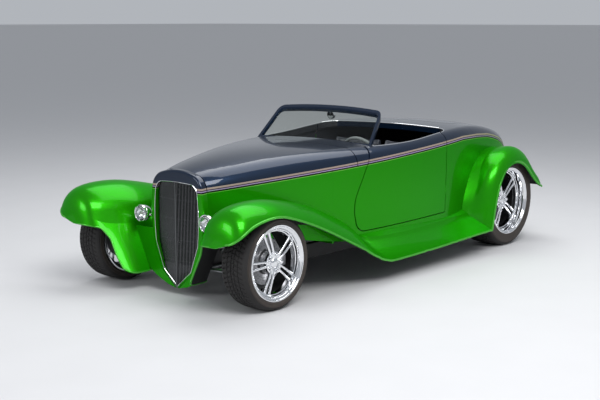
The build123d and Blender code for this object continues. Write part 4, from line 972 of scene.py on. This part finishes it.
SEAT_VOXEL = 0.008
SEAT_PRESSURE = 4.0
SEAT_STEPS = 20
CHANNEL_PITCH = 0.066
CHANNEL_DEPTH = 0.0060
BORDER = 0.045
BORDER_DEPTH = 0.0045
BORDER_WIDTH = 0.0048
SEWN_REACH = 0.02
FACING_FROM = 0.25
FACING_SPAN = 0.35
ROLL_ROUND = 0.55
PIPING_R = 0.0042
PIPING_STEP = 0.012
PIPING_SINK = 0.001


def prism(profile, y0, y1):
    """Closed block: a profile of x and z carried across from y0 to y1."""
    n = len(profile)
    points = [(x, y, z) for y in (y0, y1) for x, z in profile]
    faces = [tuple(range(n)), tuple(range(2 * n - 1, n - 1, -1))]
    faces += [(i, i + n, (i + 1) % n + n, (i + 1) % n) for i in range(n)]
    return points, faces


def apply_modifiers(piece):
    tree = bpy.context.evaluated_depsgraph_get()
    piece.data = bpy.data.meshes.new_from_object(piece.evaluated_get(tree), depsgraph=tree)
    piece.modifiers.clear()


def inflate(name, points, faces, rests, cap, low, high):
    """Closed cover swollen by air pressure, held where it rests, and kept in its box."""
    mesh = bpy.data.meshes.new(name)
    mesh.from_pydata(points, [], faces)
    piece = new_object(name, mesh)
    remesh = piece.modifiers.new("remesh", "REMESH")
    remesh.mode = "VOXEL"
    remesh.voxel_size = SEAT_VOXEL
    apply_modifiers(piece)
    start = [v.co.copy() for v in piece.data.vertices]
    held = piece.vertex_groups.new(name="held")
    held.add([v.index for v in piece.data.vertices if rests(v.co)], 1.0, "REPLACE")
    cloth = piece.modifiers.new("cloth", "CLOTH")
    cover = cloth.settings
    cover.quality = 5
    cover.mass = 0.3
    cover.tension_stiffness = cover.compression_stiffness = 15
    cover.bending_stiffness = 0.5
    cover.use_pressure = True
    cover.uniform_pressure_force = SEAT_PRESSURE
    cover.vertex_group_mass = "held"
    cover.effector_weights.gravity = 0
    cloth.collision_settings.use_collision = False
    cloth.collision_settings.use_self_collision = False
    cloth.point_cache.frame_start = 1
    cloth.point_cache.frame_end = SEAT_STEPS
    for step in range(1, SEAT_STEPS + 1):
        scene.frame_set(step)
    apply_modifiers(piece)
    piece.vertex_groups.clear()
    scene.frame_set(1)
    for v, p in zip(piece.data.vertices, start):
        move = v.co - p
        if move.length > cap:
            move *= cap / move.length
        v.co = Vector(min(max(c, a), b) for c, a, b in zip(p + move, low, high))
    smoother = piece.modifiers.new("smooth", "SUBSURF")
    smoother.levels = smoother.render_levels = 1
    apply_modifiers(piece)
    return piece


def sew(piece, facing, ends, across):
    """Sewn channels with rolls between them, inside a sewn border, on the faces that look along facing.

    ends gives how far a point is inside the border along the channels; across is the border's span of y."""
    normals = [v.normal.copy() for v in piece.data.vertices]
    count = round((across[1] - across[0]) / CHANNEL_PITCH)
    pitch = (across[1] - across[0]) / count
    for v, n in zip(piece.data.vertices, normals):
        share = min(1.0, max(0.0, (n.dot(facing) - FACING_FROM) / FACING_SPAN))
        if share == 0.0:
            continue
        inside = min(v.co.y - across[0], across[1] - v.co.y, ends(v.co))
        depth = BORDER_DEPTH * exp(-(inside / BORDER_WIDTH) ** 2) if inside > -SEWN_REACH else 0.0
        if inside > 0:
            roll = abs(sin(pi * (v.co.y - across[0]) / pitch)) ** ROLL_ROUND
            depth = max(depth, CHANNEL_DEPTH * (1 - roll) * min(1.0, inside / 0.006 + 0.3))
        v.co -= n * (depth * share)


def finish_pad(piece, node):
    give(piece.data, [leather])
    piece.data.polygons.foreach_set("use_smooth", [True] * len(piece.data.polygons))
    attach(piece, "chassis")
    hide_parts(node)


def mirrored(piece, name):
    """Same piece on the car's other side."""
    mesh = piece.data.copy()
    mesh.name = name
    mesh.transform(Matrix.Scale(-1, 4, (0, 1, 0)))
    mesh.flip_normals()
    return new_object(name, mesh)


def piping(piece, loop, name):
    """Cord sewn along the edge of a pad's face, laid on the swollen surface, on both sides of the car."""
    mesh = piece.data
    skin = BVHTree.FromPolygons([v.co for v in mesh.vertices], [p.vertices for p in mesh.polygons])
    route = []
    for p in resample([Vector(q) for q in loop + loop[:1]], PIPING_STEP)[:-1]:
        spot, normal, _, _ = skin.find_nearest(p)
        route.append(spot - normal * PIPING_SINK)
    shape = Shape()
    for side_route in (route, flip(route)):
        shape.tube(side_route, PIPING_R, sides=8, closed=True)
    shape.make(name, [piping_leather], "chassis", "leather", 60)


def corners(y_span, inset, edges):
    """Loop over two edges of a pad, each given by x and z, from one side of the pad to the other."""
    (x0, z0), (x1, z1) = edges
    low, high = y_span[0] + inset[0], y_span[1] - inset[0]
    low2, high2 = y_span[0] + inset[1], y_span[1] - inset[1]
    return [(x0, low, z0), (x0, high, z0), (x1, high2, z1), (x1, low2, z1)]


def border(y_span, widening):
    return (y_span[0] + BORDER - widening, y_span[1] - BORDER + widening)


TUNNEL_Y = 0.160
CUSHION = [(-0.550, 0.283), (-0.072, 0.283), (-0.070, 0.395), (-0.092, 0.428), (-0.550, 0.428)]
CUSHION_Y = (0.176, 0.486)
CUSHION_REST_Z = 0.288
CUSHION_CAP = 0.026
CUSHION_SEWN_X = (-0.510, -0.105)
cushion_low, cushion_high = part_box("seat_cushion")
cushion_back, cushion_front = cushion_low[0] + 0.002, cushion_high[0] - 0.001
cushion = inflate("seat_cushion_left_pad", *prism(CUSHION, *CUSHION_Y), lambda p: p.z < CUSHION_REST_Z,
                  CUSHION_CAP, (cushion_back, TUNNEL_Y + 0.004, cushion_low[2] + 0.002),
                  (cushion_front, cushion_high[1] - 0.002, cushion_high[2]))
sew(cushion, Vector((0.3, 0, 1)).normalized(),
    lambda p: min(p.x - CUSHION_SEWN_X[0], CUSHION_SEWN_X[1] - p.x), border(CUSHION_Y, 0.010))
finish_pad(cushion, "seat_cushion")
finish_pad(mirrored(cushion, "seat_cushion_right_pad"), "seat_cushion")
piping(cushion, corners(CUSHION_Y, (0.006, 0.006), ((-0.080, 0.425), (-0.545, 0.430))), "seat_cushion_piping")

CENTRE_PAD = [(-0.552, 0.4325), (-0.078, 0.4325), (-0.070, 0.440), (-0.080, 0.4475), (-0.550, 0.4475)]
CENTRE_REST_Z = 0.434
CENTRE_CAP = 0.006
CENTRE_SEWN_X = (-0.520, -0.105)
centre_pad = inflate("seat_centre_pad", *prism(CENTRE_PAD, -0.150, 0.150), lambda p: p.z < CENTRE_REST_Z,
                     CENTRE_CAP, (cushion_back, -TUNNEL_Y, 0.4315),
                     (cushion_front, TUNNEL_Y, cushion_high[2]))
sew(centre_pad, Vector((0, 0, 1)), lambda p: min(p.x - CENTRE_SEWN_X[0], CENTRE_SEWN_X[1] - p.x),
    (-0.125, 0.125))
finish_pad(centre_pad, "seat_cushion")

BACK = [(-0.574, 0.444), (-0.632, 0.846), (-0.652, 0.872), (-0.680, 0.866), (-0.726, 0.600), (-0.726, 0.444)]
BACK_Y = (0.020, 0.482)
BACK_REST_X = -0.715
BACK_REST_Z = 0.448
BACK_CAP = 0.020
BACK_SEWN_Z = (0.480, 0.845)
back_low, back_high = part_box("seat_back")
back = inflate("seat_back_left_pad", *prism(BACK, *BACK_Y), lambda p: p.x < BACK_REST_X or p.z < BACK_REST_Z,
               BACK_CAP, (back_low[0] + 0.001, 0.0015, back_low[2] + 0.001),
               (back_high[0] + 0.004, back_high[1] - 0.001, back_high[2] + 0.002))
sew(back, Vector((1, 0, 0.4)).normalized(), lambda p: min(p.z - BACK_SEWN_Z[0], BACK_SEWN_Z[1] - p.z),
    border(BACK_Y, 0.012))
finish_pad(back, "seat_back")
finish_pad(mirrored(back, "seat_back_right_pad"), "seat_back")
piping(back, corners(BACK_Y, (0.008, 0.006), ((-0.640, 0.868), (-0.574, 0.450))), "seat_back_piping")


# Mirror and front coil springs

MIRROR_R = 0.029
MIRROR_X = 0.0195
MIRROR_Z = 1.104
mirror_glass = Shape()
mirror_glass.lathe(lengthwise(MIRROR_X, 0.0, MIRROR_Z, -1), [
    (0.0, 0.0), (0.0, MIRROR_R), (0.0012, MIRROR_R), (0.0020, MIRROR_R - 0.0015), (0.0022, 0.0)], 48, 0)
mirror_glass.make("mirror_glass", [mirror_face], "chassis", "glass", 40)

SPRING_FOOT = (1.512, 0.446, 0.2225)
SPRING_TOP = (1.512, 0.3245, 0.3415)
SPRING_R = 0.0275
SPRING_TURNS = 7
SPRING_WIRE_R = 0.0055
SPRING_STEPS = 20


def coil(low, high, radius, turns):
    """Helix from one end of an axis to the other."""
    low, high = Vector(low), Vector(high)
    along = (high - low).normalized()
    side = along.orthogonal().normalized()
    up = along.cross(side)
    steps = turns * SPRING_STEPS
    route = []
    for i in range(steps + 1):
        a = 2 * pi * turns * i / steps
        route.append(low.lerp(high, i / steps) + (side * cos(a) + up * sin(a)) * radius)
    return route


coils = Shape()
for side in (-1, 1):
    foot, top = [(x, side * y, z) for x, y, z in (SPRING_FOOT, SPRING_TOP)]
    coils.tube(coil(foot, top, SPRING_R, SPRING_TURNS), SPRING_WIRE_R, 0, 8)
coils.make("coil_springs", [steel], "chassis", "steel", 40)


# Floor, light and camera

def area_light(name, place, aim, size, power):
    data = bpy.data.lights.new(name, "AREA")
    data.shape = "RECTANGLE"
    data.size, data.size_y = size
    data.energy = power
    lamp = new_object(name, data)
    lamp.location = place
    lamp.rotation_mode = "QUATERNION"
    lamp.rotation_quaternion = (Vector(aim) - Vector(place)).to_track_quat("-Z", "Y")


FLOOR_HALF = 300.0
floor_mesh = bpy.data.meshes.new("floor")
SQUARE = [(-1, -1), (1, -1), (1, 1), (-1, 1)]
floor_mesh.from_pydata([(x * FLOOR_HALF, y * FLOOR_HALF, 0) for x, y in SQUARE], [], [(0, 1, 2, 3)])
floor_mesh.materials.append(surface("floor_finish", (0.60, 0.60, 0.61), rough=0.8, grain=3.0, vary=0.01))
new_object("floor", floor_mesh)

world = bpy.data.worlds.new("studio")
world.use_nodes = True
scene.world = world
background = world.node_tree.nodes["Background"]
background.inputs["Color"].default_value = (0.80, 0.84, 0.90, 1)
background.inputs["Strength"].default_value = 0.55
area_light("key", (3.0, 5.0, 6.0), (0, 0, 0.5), (5.0, 3.0), 420)
area_light("top", (-1.5, 0.0, 6.0), (-0.2, 0, 0.5), (7.0, 4.0), 260)
area_light("front", (8.0, -2.0, 3.0), (0.5, 0, 0.5), (3.0, 2.0), 120)

LENS = 69.56
SENSOR_WIDTH = 36.0
CAMERA_PLACE = Vector((6.821, 5.565, 1.826))
CAMERA_AXES = ((-0.65334, 0.75706, -0.00009), (-0.11712, -0.10096, 0.98797), (0.74795, 0.64549, 0.15462))
camera_data = bpy.data.cameras.new("camera")
camera_data.sensor_width = SENSOR_WIDTH
camera_data.lens = LENS
camera = new_object("camera", camera_data)
camera.matrix_world = Matrix.Translation(CAMERA_PLACE) @ Matrix(CAMERA_AXES).transposed().to_4x4()
scene.camera = camera
scene.view_settings.view_transform = "Standard"
